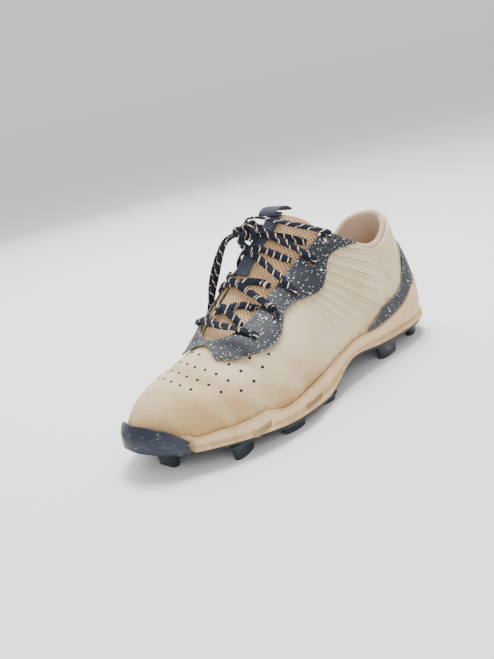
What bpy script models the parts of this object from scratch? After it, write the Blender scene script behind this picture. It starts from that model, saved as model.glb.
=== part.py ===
"""A low baseball cleat with moulded studs, for the left foot.

The shoe stands on its studs with its length along Y (toe towards -Y, heel towards
+Y), its outer side towards +X and up along Z.  Every curved piece is worked out from
one function, last_form, which lofts sections along the shoe.
"""
import math
from collections import namedtuple

import bmesh
import bpy
import numpy as np
from mathutils import Vector
from mathutils.bvhtree import BVHTree

# Driving sizes, in metres
SHOE_LENGTH = 0.2915
BALL_WIDTH = 0.1002
INSTEP_HEIGHT = 0.109
HEEL_HEIGHT = 0.101
FOOTBED_HEIGHT = 0.022
STUD_LENGTH = 0.0235
STUD_WIDTH = 0.0085
PLATE_THICKNESS = 0.0025
PLATE_INSET = 0.0012
SIDEWALL_PROUD = 0.0036
SIDEWALL_RIM = 0.0019
SIDEWALL_STEP = 0.0008
UPPER_WALL = 0.002
OVERLAY_WALL = 0.0010
OVERLAY_SEAT = 0.0009
BUMPER_WALL = 0.0026
TOE_WALL = 0.0010
SPLIT_GAP = 0.0003
INSOLE_THICKNESS = 0.004
LINING_PAD = 0.0045
LINING_RISE = 0.0035
TONGUE_PAD = 0.0045
TONGUE_HEM = 0.0025
TONGUE_SEAT = 0.0016
EYELET_BORE = 0.0044
EYELET_COUNT = 5
EYESTAY_COLUMNS = 32
LACE_WIDTH = 0.0062
LACE_THICKNESS = 0.0024
LACE_END_DIAMETER = 0.0032
WEBBING_WIDTH = 0.0185
WEBBING_THICKNESS = 0.0014
WEBBING_SEAT = 0.0013
AGLET_LENGTH = 0.016
AGLET_DIAMETER = 0.0032
CLEARANCE = 0.0004

LAST_LENGTH = SHOE_LENGTH - 2 * (SIDEWALL_PROUD + CLEARANCE)
UPPER_HALF = BALL_WIDTH / 2 - SIDEWALL_PROUD

# One row for each section of the last.  station is a share of the last's length from
# its middle; centre, half and ridge are shares of the upper's half width at the ball;
# gap (half the throat or collar opening) too.  feather is a share of the footbed's
# height.  instep and heel are shares of the instep's and the heel's height, and their
# sum is the height of the ridge or topline.  lift is how much higher the inner side of
# the throat stands, as a share of the instep's height.  bulge is a share of the half
# width, rise is where the side wall turns in, turn_x and turn_z shape the top of the
# section, and out is the share of a wall's thickness that goes sideways at the topline.
Section = namedtuple("Section", "station centre half feather ridge gap instep heel lift "
                                "bulge rise turn_x turn_z out")
LAST = [
    Section(-0.500, -0.215, 0.753, 1.18, -0.215, 0.00, 0.385, 0.00, 0.00, 0.021, 0.45, 0.62, 0.00, 0.0),
    Section(-0.433, -0.150, 0.828, 0.93, -0.220, 0.00, 0.443, 0.00, 0.00, 0.043, 0.50, 0.62, 0.00, 0.0),
    Section(-0.363, -0.075, 0.929, 0.82, -0.232, 0.00, 0.484, 0.00, 0.00, 0.054, 0.50, 0.60, 0.00, 0.0),
    Section(-0.292, 0.000, 0.989, 0.77, -0.228, 0.00, 0.524, 0.00, 0.00, 0.054, 0.50, 0.57, 0.00, 0.0),
    Section(-0.222, 0.065, 1.000, 0.75, -0.135, 0.32, 0.590, 0.00, 0.00, 0.054, 0.50, 0.54, 0.00, 0.0),
    Section(-0.151, 0.118, 0.946, 0.75, -0.145, 0.36, 0.632, 0.00, 0.080, 0.043, 0.50, 0.50, 0.06, 0.3),
    Section(-0.046, 0.129, 0.796, 0.82, -0.129, 0.37, 0.761, 0.00, 0.110, 0.032, 0.52, 0.45, 0.12, 0.4),
    Section(0.077, 0.097, 0.667, 0.95, -0.075, 0.42, 0.927, 0.00, 0.060, 0.043, 0.50, 0.40, 0.18, 0.6),
    Section(0.131, 0.075, 0.656, 1.00, -0.054, 0.50, 1.000, 0.00, 0.035, 0.054, 0.45, 0.35, 0.22, 0.8),
    Section(0.201, 0.054, 0.673, 1.02, -0.043, 0.58, 0.440, 0.505, 0.00, 0.065, 0.40, 0.25, 0.30, 0.9),
    Section(0.314, 0.032, 0.699, 1.00, -0.022, 0.613, 0.000, 0.822, 0.00, 0.075, 0.40, 0.18, 0.34, 1.0),
    Section(0.380, 0.022, 0.695, 1.00, -0.011, 0.602, 0.000, 0.861, 0.00, 0.075, 0.40, 0.10, 0.34, 1.0),
    Section(0.447, 0.022, 0.688, 1.00, 0.000, 0.580, 0.000, 0.960, 0.00, 0.065, 0.40, 0.05, 0.34, 1.0),
    Section(0.500, 0.022, 0.688, 1.00, 0.000, 0.560, 0.000, 1.000, 0.00, 0.065, 0.40, 0.00, 0.34, 1.0),
]
TOE_START = -0.2817
TOE_POWER = 2.3
TOE_DOME_START = -0.3948
TOE_DOME_POWER = 2.4
HEEL_START = 0.3763
HEEL_POWER = 2.2
HEEL_LEAN_START = 0.2468
THROAT_START = -0.2360
THROAT_ROUNDING = 0.0400
LIFT_LENGTH = 0.055
BUMPER_END = -0.4344
BUMPER_GAP = 0.002
BUMPER_STEP = 0.006
COVERED_SHARE = 0.12

# How far the back of the heel leans forward: height as a share of the heel's height,
# lean as a share of the last's length.
Lean = namedtuple("Lean", "height lean")
HEEL_LEAN = [
    Lean(0.20, 0.000), Lean(0.40, 0.0017), Lean(0.64, -0.0154), Lean(0.84, -0.0394),
    Lean(1.04, -0.0480),
]

# The side of the sole: lower and upper edges of the pale sidewall as shares of the
# footbed's height, by station.
Edge = namedtuple("Edge", "station height")
SIDEWALL_FOOT = [
    Edge(-0.500, 0.86), Edge(-0.437, 0.63), Edge(-0.380, 0.60), Edge(-0.308, 0.54),
    Edge(-0.226, 0.44), Edge(-0.144, 0.39), Edge(-0.021, 0.36), Edge(0.021, 0.55),
    Edge(0.062, 0.80), Edge(0.123, 0.84), Edge(0.206, 0.68), Edge(0.308, 0.62),
    Edge(0.411, 0.62), Edge(0.500, 0.68),
]
SIDEWALL_TOP = [
    Edge(-0.500, 1.20), Edge(-0.444, 1.14), Edge(-0.413, 1.00), Edge(-0.385, 1.10),
    Edge(-0.355, 1.00), Edge(-0.308, 1.08), Edge(-0.276, 1.15), Edge(-0.231, 0.95),
    Edge(-0.154, 0.99), Edge(-0.051, 1.06), Edge(0.072, 1.22), Edge(0.144, 1.33),
    Edge(0.211, 1.25), Edge(0.272, 1.34), Edge(0.329, 1.50), Edge(0.370, 1.68),
    Edge(0.401, 1.96), Edge(0.442, 2.14), Edge(0.500, 2.25),
]

# Lower edges of the overlays, as heights on the upper (0 feather, 1 topline) by station.
Border = namedtuple("Border", "station height")
EYESTAY_BORDER = [
    Border(0.2300, 0.985), Border(0.2002, 0.931), Border(0.1693, 0.848), Border(0.1433, 0.783),
    Border(0.1233, 0.755), Border(0.1106, 0.728), Border(0.0999, 0.676), Border(0.0771, 0.579),
    Border(0.0580, 0.552), Border(0.0322, 0.565), Border(-0.0186, 0.665), Border(-0.0424, 0.703),
    Border(-0.0602, 0.722), Border(-0.0751, 0.714), Border(-0.0938, 0.678), Border(-0.1100, 0.641),
    Border(-0.1275, 0.607), Border(-0.1452, 0.593), Border(-0.1784, 0.592), Border(-0.2051, 0.612),
    Border(-0.2304, 0.626), Border(-0.2623, 0.679), Border(-0.2777, 0.776), Border(-0.2731, 0.821), Border(-0.2627, 0.870),
    Border(-0.2531, 0.930), Border(-0.2500, 1.000),
]
COUNTER_FRONT = [
    Border(0.1851, 0.085), Border(0.2139, 0.120), Border(0.2416, 0.210), Border(0.2828, 0.290),
    Border(0.3290, 0.340),
    Border(0.3702, 0.420), Border(0.3959, 0.560), Border(0.4216, 0.660), Border(0.4678, 0.705),
    Border(0.5000, 0.730),
]

# Eyelets, front to back: station and height on the upper.
EYELETS = [
    Border(-0.1857, 0.786), Border(-0.0932, 0.800), Border(-0.0196, 0.775), Border(0.0707, 0.832),
    Border(0.1340, 0.920),
]
# Where the lace goes under the throat's edge: on the outer side a tongue row and a share
# of the way to the tongue's outer edge, on the inner side a station of the throat's edge.
Notch = namedtuple("Notch", "row share inner")
NOTCHES = [
    Notch(5.2, 0.43, -0.178), Notch(6.5, 0.43, -0.142), Notch(7.9, 0.48, -0.070),
    Notch(9.9, 0.52, 0.015), Notch(11.7, 0.50, 0.058),
]
# The tongue rows over which the bar, the four crossings and the top run pass.
BAR_ROW = 4.2
CROSSING_ROWS = [5.6, 7.0, 8.8, 10.3]
TOP_ROW = 10.8

# The tongue's rows: its edge and flap are heights on the upper under which they lie.
# The middle stands above the straight line between the edges by crown and is set
# forward by set_back (shares of the instep's height and of the length), and goes to the
# inner side by sway, a share of the upper's half width.
TongueRow = namedtuple("TongueRow", "station edge flap crown set_back sway")
TONGUE_ROWS = [
    TongueRow(-0.290, 0.88, 0.77, 0.006, 0.000, 0.00),
    TongueRow(-0.264, 0.90, 0.77, 0.006, 0.000, 0.00),
    TongueRow(-0.240, 0.92, 0.77, 0.006, 0.000, 0.00),
    TongueRow(-0.226, 0.94, 0.76, 0.010, 0.000, 0.00),
    TongueRow(-0.205, 0.96, 0.74, 0.014, 0.000, 0.02),
    TongueRow(-0.172, 0.99, 0.72, 0.040, 0.003, 0.08),
    TongueRow(-0.134, 1.00, 0.72, 0.055, 0.007, 0.12),
    TongueRow(-0.087, 1.00, 0.72, 0.082, 0.012, 0.15),
    TongueRow(-0.041, 1.00, 0.72, 0.108, 0.019, 0.17),
    TongueRow(0.000, 1.00, 0.72, 0.134, 0.028, 0.19),
    TongueRow(0.036, 1.00, 0.74, 0.145, 0.036, 0.20),
    TongueRow(0.070, 1.00, 0.76, 0.142, 0.043, 0.20),
    TongueRow(0.099, 1.00, 0.80, 0.142, 0.049, 0.20),
]
OUTER_SHOULDER_PLACE = 0.42
OUTER_SHOULDER_HEIGHT = 0.80
INNER_SHOULDER_PLACE = 0.38
INNER_SHOULDER_HEIGHT = 0.90
# The free top of the tongue, from its last row: rise of the middle, the edge and the
# flap as shares of the instep's height, and the same rows' steps back along the length.
TongueTop = namedtuple("TongueTop", "middle edge flap middle_back edge_back flap_back "
                                    "edge_narrow flap_narrow")
TONGUE_TOP = [
    TongueTop(0.040, 0.040, 0.020, 0.016, 0.015, 0.010, 1.04, 0.90),
    TongueTop(0.062, 0.075, 0.045, 0.029, 0.028, 0.022, 1.07, 0.88),
    TongueTop(0.070, 0.092, 0.055, 0.036, 0.034, 0.028, 1.08, 0.86),
]

# Studs: place across (share of the sole's half width, + is the outer side), station,
# turn in degrees, length and width as shares of the stud's sizes, heel or not.
Stud = namedtuple("Stud", "name across station turn length width heel")
STUDS = [
    Stud("toe", 0.10, -0.430, 90, 0.95, 1.00, False),
    Stud("outer_front", 0.80, -0.327, 14, 1.05, 1.00, False),
    Stud("outer_ball", 0.83, -0.190, -4, 1.00, 1.05, False),
    Stud("outer_waist", 0.80, -0.049, -16, 0.95, 1.00, False),
    Stud("inner_front", -0.78, -0.339, -20, 1.05, 1.00, False),
    Stud("inner_ball", -0.82, -0.221, -6, 1.00, 1.05, False),
    Stud("inner_waist", -0.80, -0.087, 10, 0.95, 1.00, False),
    Stud("middle_front", 0.06, -0.269, 90, 0.70, 0.90, False),
    Stud("middle_rear", 0.04, -0.134, 0, 0.70, 0.90, False),
    Stud("outer_heel_front", 0.80, 0.269, 4, 1.15, 1.05, True),
    Stud("outer_heel_rear", 0.62, 0.430, 24, 0.95, 1.05, True),
    Stud("inner_heel_front", -0.80, 0.269, -4, 1.15, 1.05, True),
    Stud("inner_heel_rear", -0.62, 0.430, -24, 0.95, 1.05, True),
]
STUD_TAPER = 0.78
STUD_CORNER = 0.30

# The webbing strap: the tongue row that its cut end lies on, and the side view of its
# loop above the tongue, as forward and upward steps from the tongue's top edge, in
# shares of the strap's width.
WEBBING_START_ROW = 7.7
LoopPoint = namedtuple("LoopPoint", "forward up")
WEBBING_LOOP = [
    LoopPoint(0.26, 0.00), LoopPoint(0.22, 0.14), LoopPoint(0.04, 0.22), LoopPoint(-0.26, 0.22),
    LoopPoint(-0.52, 0.14), LoopPoint(-0.66, 0.00),
]

# The knot and the lace's free ends, in metres from the middle of the last: they leave the
# knot, lie over the inner side of the throat and hang down the shoe's inner side.
CORD_PIECES = ("lace_knot", "lace_end_outer", "lace_end_inner", "aglet_outer", "aglet_inner")
KNOT_CENTRE = (-0.0145, -0.0080, 0.1229)
KNOT_SIZE = (0.0085, 0.0062, 0.0045)
END_OUTER = [
    (-0.0234, -0.0086, 0.1226), (-0.0292, -0.0112, 0.1192), (-0.0342, -0.0145, 0.1115),
    (-0.0385, -0.0180, 0.1020), (-0.0420, -0.0220, 0.0900), (-0.0440, -0.0245, 0.0770),
    (-0.0450, -0.0255, 0.0640), (-0.0455, -0.0255, 0.0510), (-0.0455, -0.0250, 0.0390),
]
END_INNER = [
    (-0.0190, -0.0140, 0.1217), (-0.0238, -0.0180, 0.1178), (-0.0278, -0.0212, 0.1090),
    (-0.0310, -0.0245, 0.0985), (-0.0340, -0.0290, 0.0870), (-0.0365, -0.0330, 0.0750),
    (-0.0385, -0.0360, 0.0630), (-0.0403, -0.0380, 0.0510), (-0.0418, -0.0390, 0.0390),
]
END_SAMPLES = 15


def curve_value(rows, column, station):
    """Cubic Hermite curve through a table's column, read at the given stations."""
    places = np.array([row[0] for row in rows])
    values = np.array([getattr(row, column) for row in rows], dtype=float)
    if places[0] > places[-1]:
        places = places[::-1]
        values = values[::-1]
    widths = np.diff(places)
    slopes = np.diff(values) / widths
    tangents = np.empty_like(values)
    tangents[0] = slopes[0]
    tangents[-1] = slopes[-1]
    tangents[1:-1] = ((slopes[:-1] * widths[1:] + slopes[1:] * widths[:-1])
                      / (widths[1:] + widths[:-1]))
    station = np.asarray(station, dtype=float)
    index = np.clip(np.searchsorted(places, station) - 1, 0, len(places) - 2)
    width = widths[index]
    share = np.clip((station - places[index]) / width, 0.0, 1.0)
    return (values[index] * (1 + 2 * share) * (1 - share) ** 2
            + tangents[index] * width * share * (1 - share) ** 2
            + values[index + 1] * share ** 2 * (3 - 2 * share)
            + tangents[index + 1] * width * share ** 2 * (share - 1))


def smooth_step(value):
    value = np.clip(value, 0.0, 1.0)
    return value * value * (3 - 2 * value)


def toe_share(station):
    return np.clip((TOE_START - station) / (TOE_START + 0.5), 0.0, 1.0)


def heel_share(station):
    return np.clip((station - HEEL_START) / (0.5 - HEEL_START), 0.0, 1.0)


def toe_round(station):
    return np.sqrt(1 - toe_share(station) ** TOE_POWER)


def heel_round(station):
    return np.sqrt(1 - heel_share(station) ** HEEL_POWER)


def end_round(station):
    """How much of its full width the plan keeps at a station: 1, falling to 0 at both ends."""
    return toe_round(station) * heel_round(station)


def end_direction(station):
    """Share of an outward step that goes along the length: -1 at the toe, 1 at the heel."""
    return (np.sqrt(1 - heel_round(station) ** 2) - np.sqrt(1 - toe_round(station) ** 2))


def throat_gap(station):
    opening = curve_value(LAST, "gap", station)
    share = np.clip((station - THROAT_START) / THROAT_ROUNDING, 0.0, 1.0)
    opening = opening * np.sqrt(1 - (1 - share) ** 2)
    return np.where(station <= THROAT_START, 0.0, opening)


def feather_height(station):
    return FOOTBED_HEIGHT * curve_value(LAST, "feather", station)


def topline_height(station, side):
    """Height of the topline or ridge; the inner side of the throat stands higher."""
    opened = smooth_step((station - THROAT_START) / LIFT_LENGTH)
    lift = np.maximum(curve_value(LAST, "lift", station), 0.0) * opened
    inner = np.where(np.asarray(side) < 0, lift, 0.0)
    return (INSTEP_HEIGHT * (curve_value(LAST, "instep", station) + inner)
            + HEEL_HEIGHT * curve_value(LAST, "heel", station))


def ridge_place(station):
    centre = curve_value(LAST, "centre", station)
    ridge = curve_value(LAST, "ridge", station)
    blend = toe_share(station) ** 2
    return UPPER_HALF * (ridge * (1 - blend) + centre * blend)


def last_form(station, side, height, out=0.0):
    """A point of the upper's outer skin.

    station is a share of the length, side is 1 (outer) or -1 (inner) and height runs
    from 0 at the feather to 1 at the topline or ridge.  Each half section is a cubic
    Bezier curve from the feather up and over to the topline.  out moves the whole form
    outwards, or inwards where it is negative, so that two calls bound a wall.
    """
    station = np.asarray(station, dtype=float)
    height = np.asarray(height, dtype=float)
    plan = end_round(station)
    half = (UPPER_HALF * curve_value(LAST, "half", station) + out) * plan
    centre = UPPER_HALF * curve_value(LAST, "centre", station)
    foot = feather_height(station)
    dome_share = np.clip((TOE_DOME_START - station) / (TOE_DOME_START + 0.5), 0.0, 1.0)
    dome = np.sqrt(1 - dome_share ** TOE_DOME_POWER)
    sideways = curve_value(LAST, "out", station)
    upwards = np.sqrt(np.clip(1 - sideways ** 2, 0.0, 1.0))
    top = foot + (topline_height(station, side) + out * upwards - foot) * dome
    split = throat_gap(station)
    opening = np.where(split > 0, UPPER_HALF * split + out * sideways, 0.0)
    opening = np.maximum(opening, 0.0) * heel_round(station)
    bulge = UPPER_HALF * curve_value(LAST, "bulge", station) * plan
    rise = curve_value(LAST, "rise", station)
    turn_x = curve_value(LAST, "turn_x", station)
    turn_z = curve_value(LAST, "turn_z", station)
    foot_x = centre + side * half
    top_x = ridge_place(station) + side * opening
    tall = top - foot
    x1 = foot_x + side * bulge
    z1 = foot + rise * tall
    x2 = top_x + (foot_x - top_x) * turn_x + side * bulge * 0.5
    z2 = top - tall * turn_z
    a = (1 - height) ** 3
    b = 3 * (1 - height) ** 2 * height
    c = 3 * (1 - height) * height ** 2
    d = height ** 3
    x = a * foot_x + b * x1 + c * x2 + d * top_x
    z = a * foot + b * z1 + c * z2 + d * top
    lean = LAST_LENGTH * curve_value(HEEL_LEAN, "lean", z / HEEL_HEIGHT)
    lean = lean * smooth_step((station - HEEL_LEAN_START) / (0.5 - HEEL_LEAN_START))
    y = station * LAST_LENGTH + out * end_direction(station) + lean
    return np.stack(np.broadcast_arrays(x, y, z), axis=-1)


def height_on_upper(station, side, level):
    """The height share at which the upper reaches a level above the floor."""
    shares = np.linspace(0.0, 1.0, 201)
    levels = last_form(station, side, shares)[..., 2]
    return float(np.interp(level, levels, shares))


def sole_stations():
    """Stations from toe to heel, closer together where the plan turns."""
    toe_angles = np.linspace(0.955, 0.13, 8) * math.pi / 2
    toe = TOE_START - (TOE_START + 0.5) * np.sin(toe_angles) ** (2 / TOE_POWER)
    heel_angles = np.linspace(0.16, 0.945, 7) * math.pi / 2
    heel = HEEL_START + (0.5 - HEEL_START) * np.sin(heel_angles) ** (2 / HEEL_POWER)
    middle = np.linspace(-0.268, 0.362, 19)
    throat = THROAT_START + THROAT_ROUNDING * np.array([0.0, 0.15, 0.5, 1.0])
    middle = middle[(middle < throat[0] - 0.012) | (middle > throat[-1] + 0.012)]
    step = [BUMPER_END + BUMPER_GAP, BUMPER_END + BUMPER_GAP + BUMPER_STEP]
    toe = toe[(toe < step[0] - 0.006) | (toe > step[1] + 0.006)]
    return np.sort(np.concatenate([toe, step, middle, throat, heel]))


STATIONS = sole_stations()


def ring(half_ring):
    """A closed loop round the shoe: the outer side from toe to heel, then the inner back."""
    return np.concatenate([half_ring(STATIONS, 1), half_ring(STATIONS, -1)[::-1]])


def mesh_object(name, vertices, faces, material):
    mesh = bpy.data.meshes.new(name)
    mesh.from_pydata([tuple(point) for point in vertices], [], faces)
    work = bmesh.new()
    work.from_mesh(mesh)
    bmesh.ops.remove_doubles(work, verts=work.verts, dist=0.00002)
    bmesh.ops.recalc_face_normals(work, faces=work.faces)
    work.to_mesh(mesh)
    work.free()
    mesh.update()
    built = bpy.data.objects.new(name, mesh)
    mesh.materials.append(material)
    bpy.context.scene.collection.children["baseball_cleat"].objects.link(built)
    return built


def ring_faces(rings, size, keep=None):
    """Quads between neighbouring rings of the same size."""
    faces = []
    for row in range(rings - 1):
        for column in range(size):
            following = (column + 1) % size
            if keep is not None and not keep(row, column):
                continue
            faces.append((row * size + column, row * size + following,
                          (row + 1) * size + following, (row + 1) * size + column))
    return faces


def cap_faces(first, size):
    """Strips from the outer side of a ring straight across to its inner side."""
    half = size // 2
    return [(first + step, first + step + 1, first + size - 2 - step, first + size - 1 - step)
            for step in range(half - 1)]


def capped_body(name, rings, material):
    """A solid whose side runs through the rings and whose two ends are closed."""
    size = len(rings[0])
    faces = ring_faces(len(rings), size)
    faces += cap_faces(0, size)
    faces += cap_faces((len(rings) - 1) * size, size)
    return mesh_object(name, np.concatenate(rings), faces, material)


def shell_body(name, outside, inside, material):
    """A wall between two grids of the same size, closed round its edges."""
    rows, columns = outside.shape[:2]
    count = rows * columns

    def index(layer, row, column):
        return layer * count + row * columns + column

    faces = []
    for layer in (0, 1):
        for row in range(rows - 1):
            for column in range(columns - 1):
                faces.append((index(layer, row, column), index(layer, row, column + 1),
                              index(layer, row + 1, column + 1), index(layer, row + 1, column)))
    edge = [(0, column) for column in range(columns)]
    edge += [(row, columns - 1) for row in range(1, rows)]
    edge += [(rows - 1, column) for column in range(columns - 2, -1, -1)]
    edge += [(row, 0) for row in range(rows - 2, 0, -1)]
    for place, (row, column) in enumerate(edge):
        next_row, next_column = edge[(place + 1) % len(edge)]
        faces.append((index(0, row, column), index(0, next_row, next_column),
                      index(1, next_row, next_column), index(1, row, column)))
    vertices = np.concatenate([outside.reshape(-1, 3), inside.reshape(-1, 3)])
    return mesh_object(name, vertices, faces, material)


def make_material(name, colour, roughness, metallic=0.0):
    material = bpy.data.materials.new(name)
    material.use_nodes = True
    shader = material.node_tree.nodes["Principled BSDF"]
    shader.inputs["Base Color"].default_value = (*colour, 1.0)
    shader.inputs["Roughness"].default_value = roughness
    shader.inputs["Metallic"].default_value = metallic
    return material


def cutter_collection():
    return bpy.data.collections["cutters"]


def hide_cutter(cutter):
    for owner in list(cutter.users_collection):
        owner.objects.unlink(cutter)
    cutter_collection().objects.link(cutter)
    cutter.hide_render = True
    cutter.display_type = "WIRE"


def boolean(target, cutter, operation):
    modifier = target.modifiers.new(operation.lower(), "BOOLEAN")
    modifier.operation = operation
    modifier.solver = "EXACT"
    modifier.object = cutter


# Upper

UPPER_ROWS = np.array([0.0, 0.13, 0.28, 0.43, 0.58, 0.73, 0.87, 1.0])


def make_upper(material):
    """One hollow wall: rings up the outside, then down the inside."""
    rings = [ring(lambda s, side, h=h: last_form(s, side, h)) for h in UPPER_ROWS]
    rings += [ring(lambda s, side, h=h: last_form(s, side, h, -UPPER_WALL))
              for h in UPPER_ROWS[::-1]]
    rings.append(rings[0])
    size = len(rings[0])
    half = size // 2
    closed = int(np.argmin(np.abs(STATIONS - THROAT_START)))
    top_row = len(UPPER_ROWS) - 1

    def keep(row, column):
        if row != top_row:
            return True
        outer = column < closed
        inner = column >= size - 1 - closed
        return not (outer or inner)

    faces = ring_faces(len(rings), size, keep)
    return mesh_object("upper", np.concatenate(rings), faces, material)


def surface_frame(station, side, height):
    """Point on the upper's skin with its outward normal."""
    small = 0.002
    here = last_form(station, side, height)
    along = last_form(station + small, side, height) - last_form(station - small, side, height)
    high = min(height + small, 1.0)
    upward = last_form(station, side, high) - last_form(station, side, high - 2 * small)
    normal = np.cross(along, upward) * -side
    return here, normal / np.linalg.norm(normal)


def make_eyelet_cutters():
    """Round bores square to the upper's wall, one for each eyelet on each side."""
    work = bmesh.new()
    for eyelet in EYELETS[:EYELET_COUNT]:
        for side in (1, -1):
            place, normal = surface_frame(eyelet.station, side, eyelet.height)
            turn = Vector((0, 0, 1)).rotation_difference(Vector(normal)).to_matrix().to_4x4()
            turn.translation = Vector(place)
            bmesh.ops.create_cone(work, cap_ends=True, segments=8, radius1=EYELET_BORE / 2,
                                  radius2=EYELET_BORE / 2, depth=8 * UPPER_WALL, matrix=turn)
    mesh = bpy.data.meshes.new("eyelet_bores")
    work.to_mesh(mesh)
    work.free()
    cutter = bpy.data.objects.new("eyelet_bores", mesh)
    bpy.context.scene.collection.objects.link(cutter)
    hide_cutter(cutter)
    return cutter


def eyestay_grid(out):
    """The eyestay's skin: from the outer collar round the toe end of the throat and back.

    Each column runs from the lower border up to the throat's edge.
    """
    stations = np.array([border.station for border in EYESTAY_BORDER])
    heights = np.array([border.height for border in EYESTAY_BORDER])
    corners = last_form(stations, 1, heights)
    lengths = np.linalg.norm(np.diff(corners, axis=0), axis=1)
    places = np.concatenate([[0.0], np.cumsum(lengths / lengths.sum())])
    places = (places + np.linspace(0.0, 1.0, len(stations))) / 2
    path = np.linspace(0.0, 1.0, EYESTAY_COLUMNS)
    low_station = np.interp(path, places, stations)
    low_height = np.interp(path, places, heights)
    travel = np.cumsum(np.concatenate([[0.0], np.abs(np.diff(low_station))]))
    travel = travel / travel[-1]
    top_station = stations[0] + (THROAT_START - stations[0]) * travel
    columns = []
    for side in (1, -1):
        rows = []
        for rise in (0.0, 0.25, 0.5, 0.75, 1.0):
            station = low_station + (top_station - low_station) * rise
            height = low_height + (1.0 - low_height) * rise
            rows.append(last_form(station, side, height, out))
        grid = np.stack(rows, axis=1)
        columns.append(grid if side == 1 else grid[::-1][1:])
    return np.concatenate(columns)


def make_eyestay(material):
    return shell_body("eyestay", eyestay_grid(OVERLAY_SEAT + OVERLAY_WALL),
                      eyestay_grid(OVERLAY_SEAT), material)


def sole_wall(station, side, level, proud):
    """A point on the sole's side: proud of the upper's feather line, at a level."""
    foot = last_form(station, side, 0.0)
    foot[..., 0] += side * proud * end_round(station)
    foot[..., 1] += proud * end_direction(station)
    foot[..., 2] = level
    return foot


def behind_bumper(station):
    """0 where the rubber bumper covers the sidewall at the toe, 1 behind it."""
    return smooth_step((station - BUMPER_END - BUMPER_GAP) / BUMPER_STEP)


def cup_wall(station, thickness):
    """Thickness of the cup's wall, which is thin behind the bumper."""
    return TOE_WALL + (thickness - TOE_WALL) * behind_bumper(station)


def sidewall_foot(station):
    return FOOTBED_HEIGHT * curve_value(SIDEWALL_FOOT, "height", station)


def sidewall_top_share(station, side):
    """Height on the upper that the sidewall's top edge reaches."""
    station = np.atleast_1d(station)
    behind = behind_bumper(station)
    shown = FOOTBED_HEIGHT * curve_value(SIDEWALL_TOP, "height", station)
    shares = np.array([height_on_upper(s, side, z) for s, z in zip(station, shown)])
    return shares * behind + COVERED_SHARE * (1 - behind)


def make_midsole(material):
    """The pale cup: it holds the upper's lower edge and closes it underneath."""
    def rim(share, out):
        def half_ring(station, side):
            height = sidewall_top_share(station, side) * share
            thick = cup_wall(station, out) if out > 0 else 0.0
            return last_form(station, side, height, CLEARANCE + thick)
        return ring(half_ring)

    def wall(level_share, proud_share, step=0.0):
        def half_ring(station, side):
            low = sidewall_foot(station)
            high = feather_height(station)
            level = low + (high - low) * level_share
            return sole_wall(station, side, level,
                             cup_wall(station, SIDEWALL_PROUD * proud_share - step)
                             + CLEARANCE)
        return ring(half_ring)

    def footbed(station, side):
        return sole_wall(station, side, feather_height(station) - CLEARANCE, CLEARANCE)

    rings = [
        wall(0.0, 0.86),
        wall(0.12, 1.0),
        wall(0.52, 1.0),
        wall(0.60, 1.0, SIDEWALL_STEP),
        wall(1.0, 0.92, SIDEWALL_STEP),
        rim(0.55, SIDEWALL_RIM * 1.15),
        rim(1.0, SIDEWALL_RIM * 0.75),
        rim(1.0, 0.0),
        rim(0.55, 0.0),
        ring(footbed),
    ]
    return capped_body("midsole", rings, material)


def plate_level(station):
    """Top of the dark plate, just under the sidewall."""
    return sidewall_foot(station) - SPLIT_GAP


def make_outsole(material):
    """The dark plate with its moulded studs in one piece."""
    def plate(drop, inset):
        def half_ring(station, side):
            level = plate_level(station) - drop
            return sole_wall(station, side, level, SIDEWALL_PROUD - inset)
        return ring(half_ring)

    rings = [
        plate(0.0, PLATE_INSET * 1.5),
        plate(PLATE_THICKNESS * 0.35, PLATE_INSET),
        plate(PLATE_THICKNESS * 0.75, PLATE_INSET),
        plate(PLATE_THICKNESS, PLATE_INSET * 2),
    ]
    outsole = capped_body("outsole", rings, material)
    studs = make_studs()
    boolean(outsole, studs, "UNION")
    return outsole


def stud_place(stud):
    """Middle of a stud on the floor."""
    side = 1 if stud.across > 0 else -1
    edge = sole_wall(stud.station, side, 0.0, SIDEWALL_PROUD)
    centre = UPPER_HALF * float(curve_value(LAST, "centre", stud.station))
    reach = abs(edge[0] - centre)
    return centre + stud.across * reach, float(edge[1])


def make_studs():
    """Blocks with cut corners that taper towards the floor."""
    work = bmesh.new()
    for stud in STUDS:
        x, y = stud_place(stud)
        length = STUD_LENGTH * stud.length
        width = STUD_WIDTH * stud.width
        top = float(plate_level(stud.station)) - PLATE_THICKNESS * 0.5
        turn = math.radians(stud.turn)
        rows = []
        for level, scale in ((0.0, STUD_TAPER), (top * 0.55, STUD_TAPER * 1.08),
                             (top, 1.06)):
            corner = STUD_CORNER * width * scale
            half_x = width * scale / 2
            half_y = length * scale / 2
            outline = [
                (half_x, -half_y + corner * 2), (half_x, half_y - corner * 2),
                (half_x - corner, half_y), (-half_x + corner, half_y),
                (-half_x, half_y - corner), (-half_x, -half_y + corner),
                (-half_x + corner, -half_y), (half_x - corner, -half_y),
            ]
            rows.append([work.verts.new((
                x + px * math.cos(turn) - py * math.sin(turn),
                y + px * math.sin(turn) + py * math.cos(turn), level))
                for px, py in outline])
        for low, high in zip(rows, rows[1:]):
            for step in range(len(low)):
                after = (step + 1) % len(low)
                work.faces.new((low[step], low[after], high[after], high[step]))
        work.faces.new(rows[0][::-1])
        work.faces.new(rows[-1])
    bmesh.ops.recalc_face_normals(work, faces=work.faces)
    mesh = bpy.data.meshes.new("studs")
    work.to_mesh(mesh)
    work.free()
    studs = bpy.data.objects.new("studs", mesh)
    bpy.context.scene.collection.objects.link(studs)
    hide_cutter(studs)
    return studs


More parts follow.
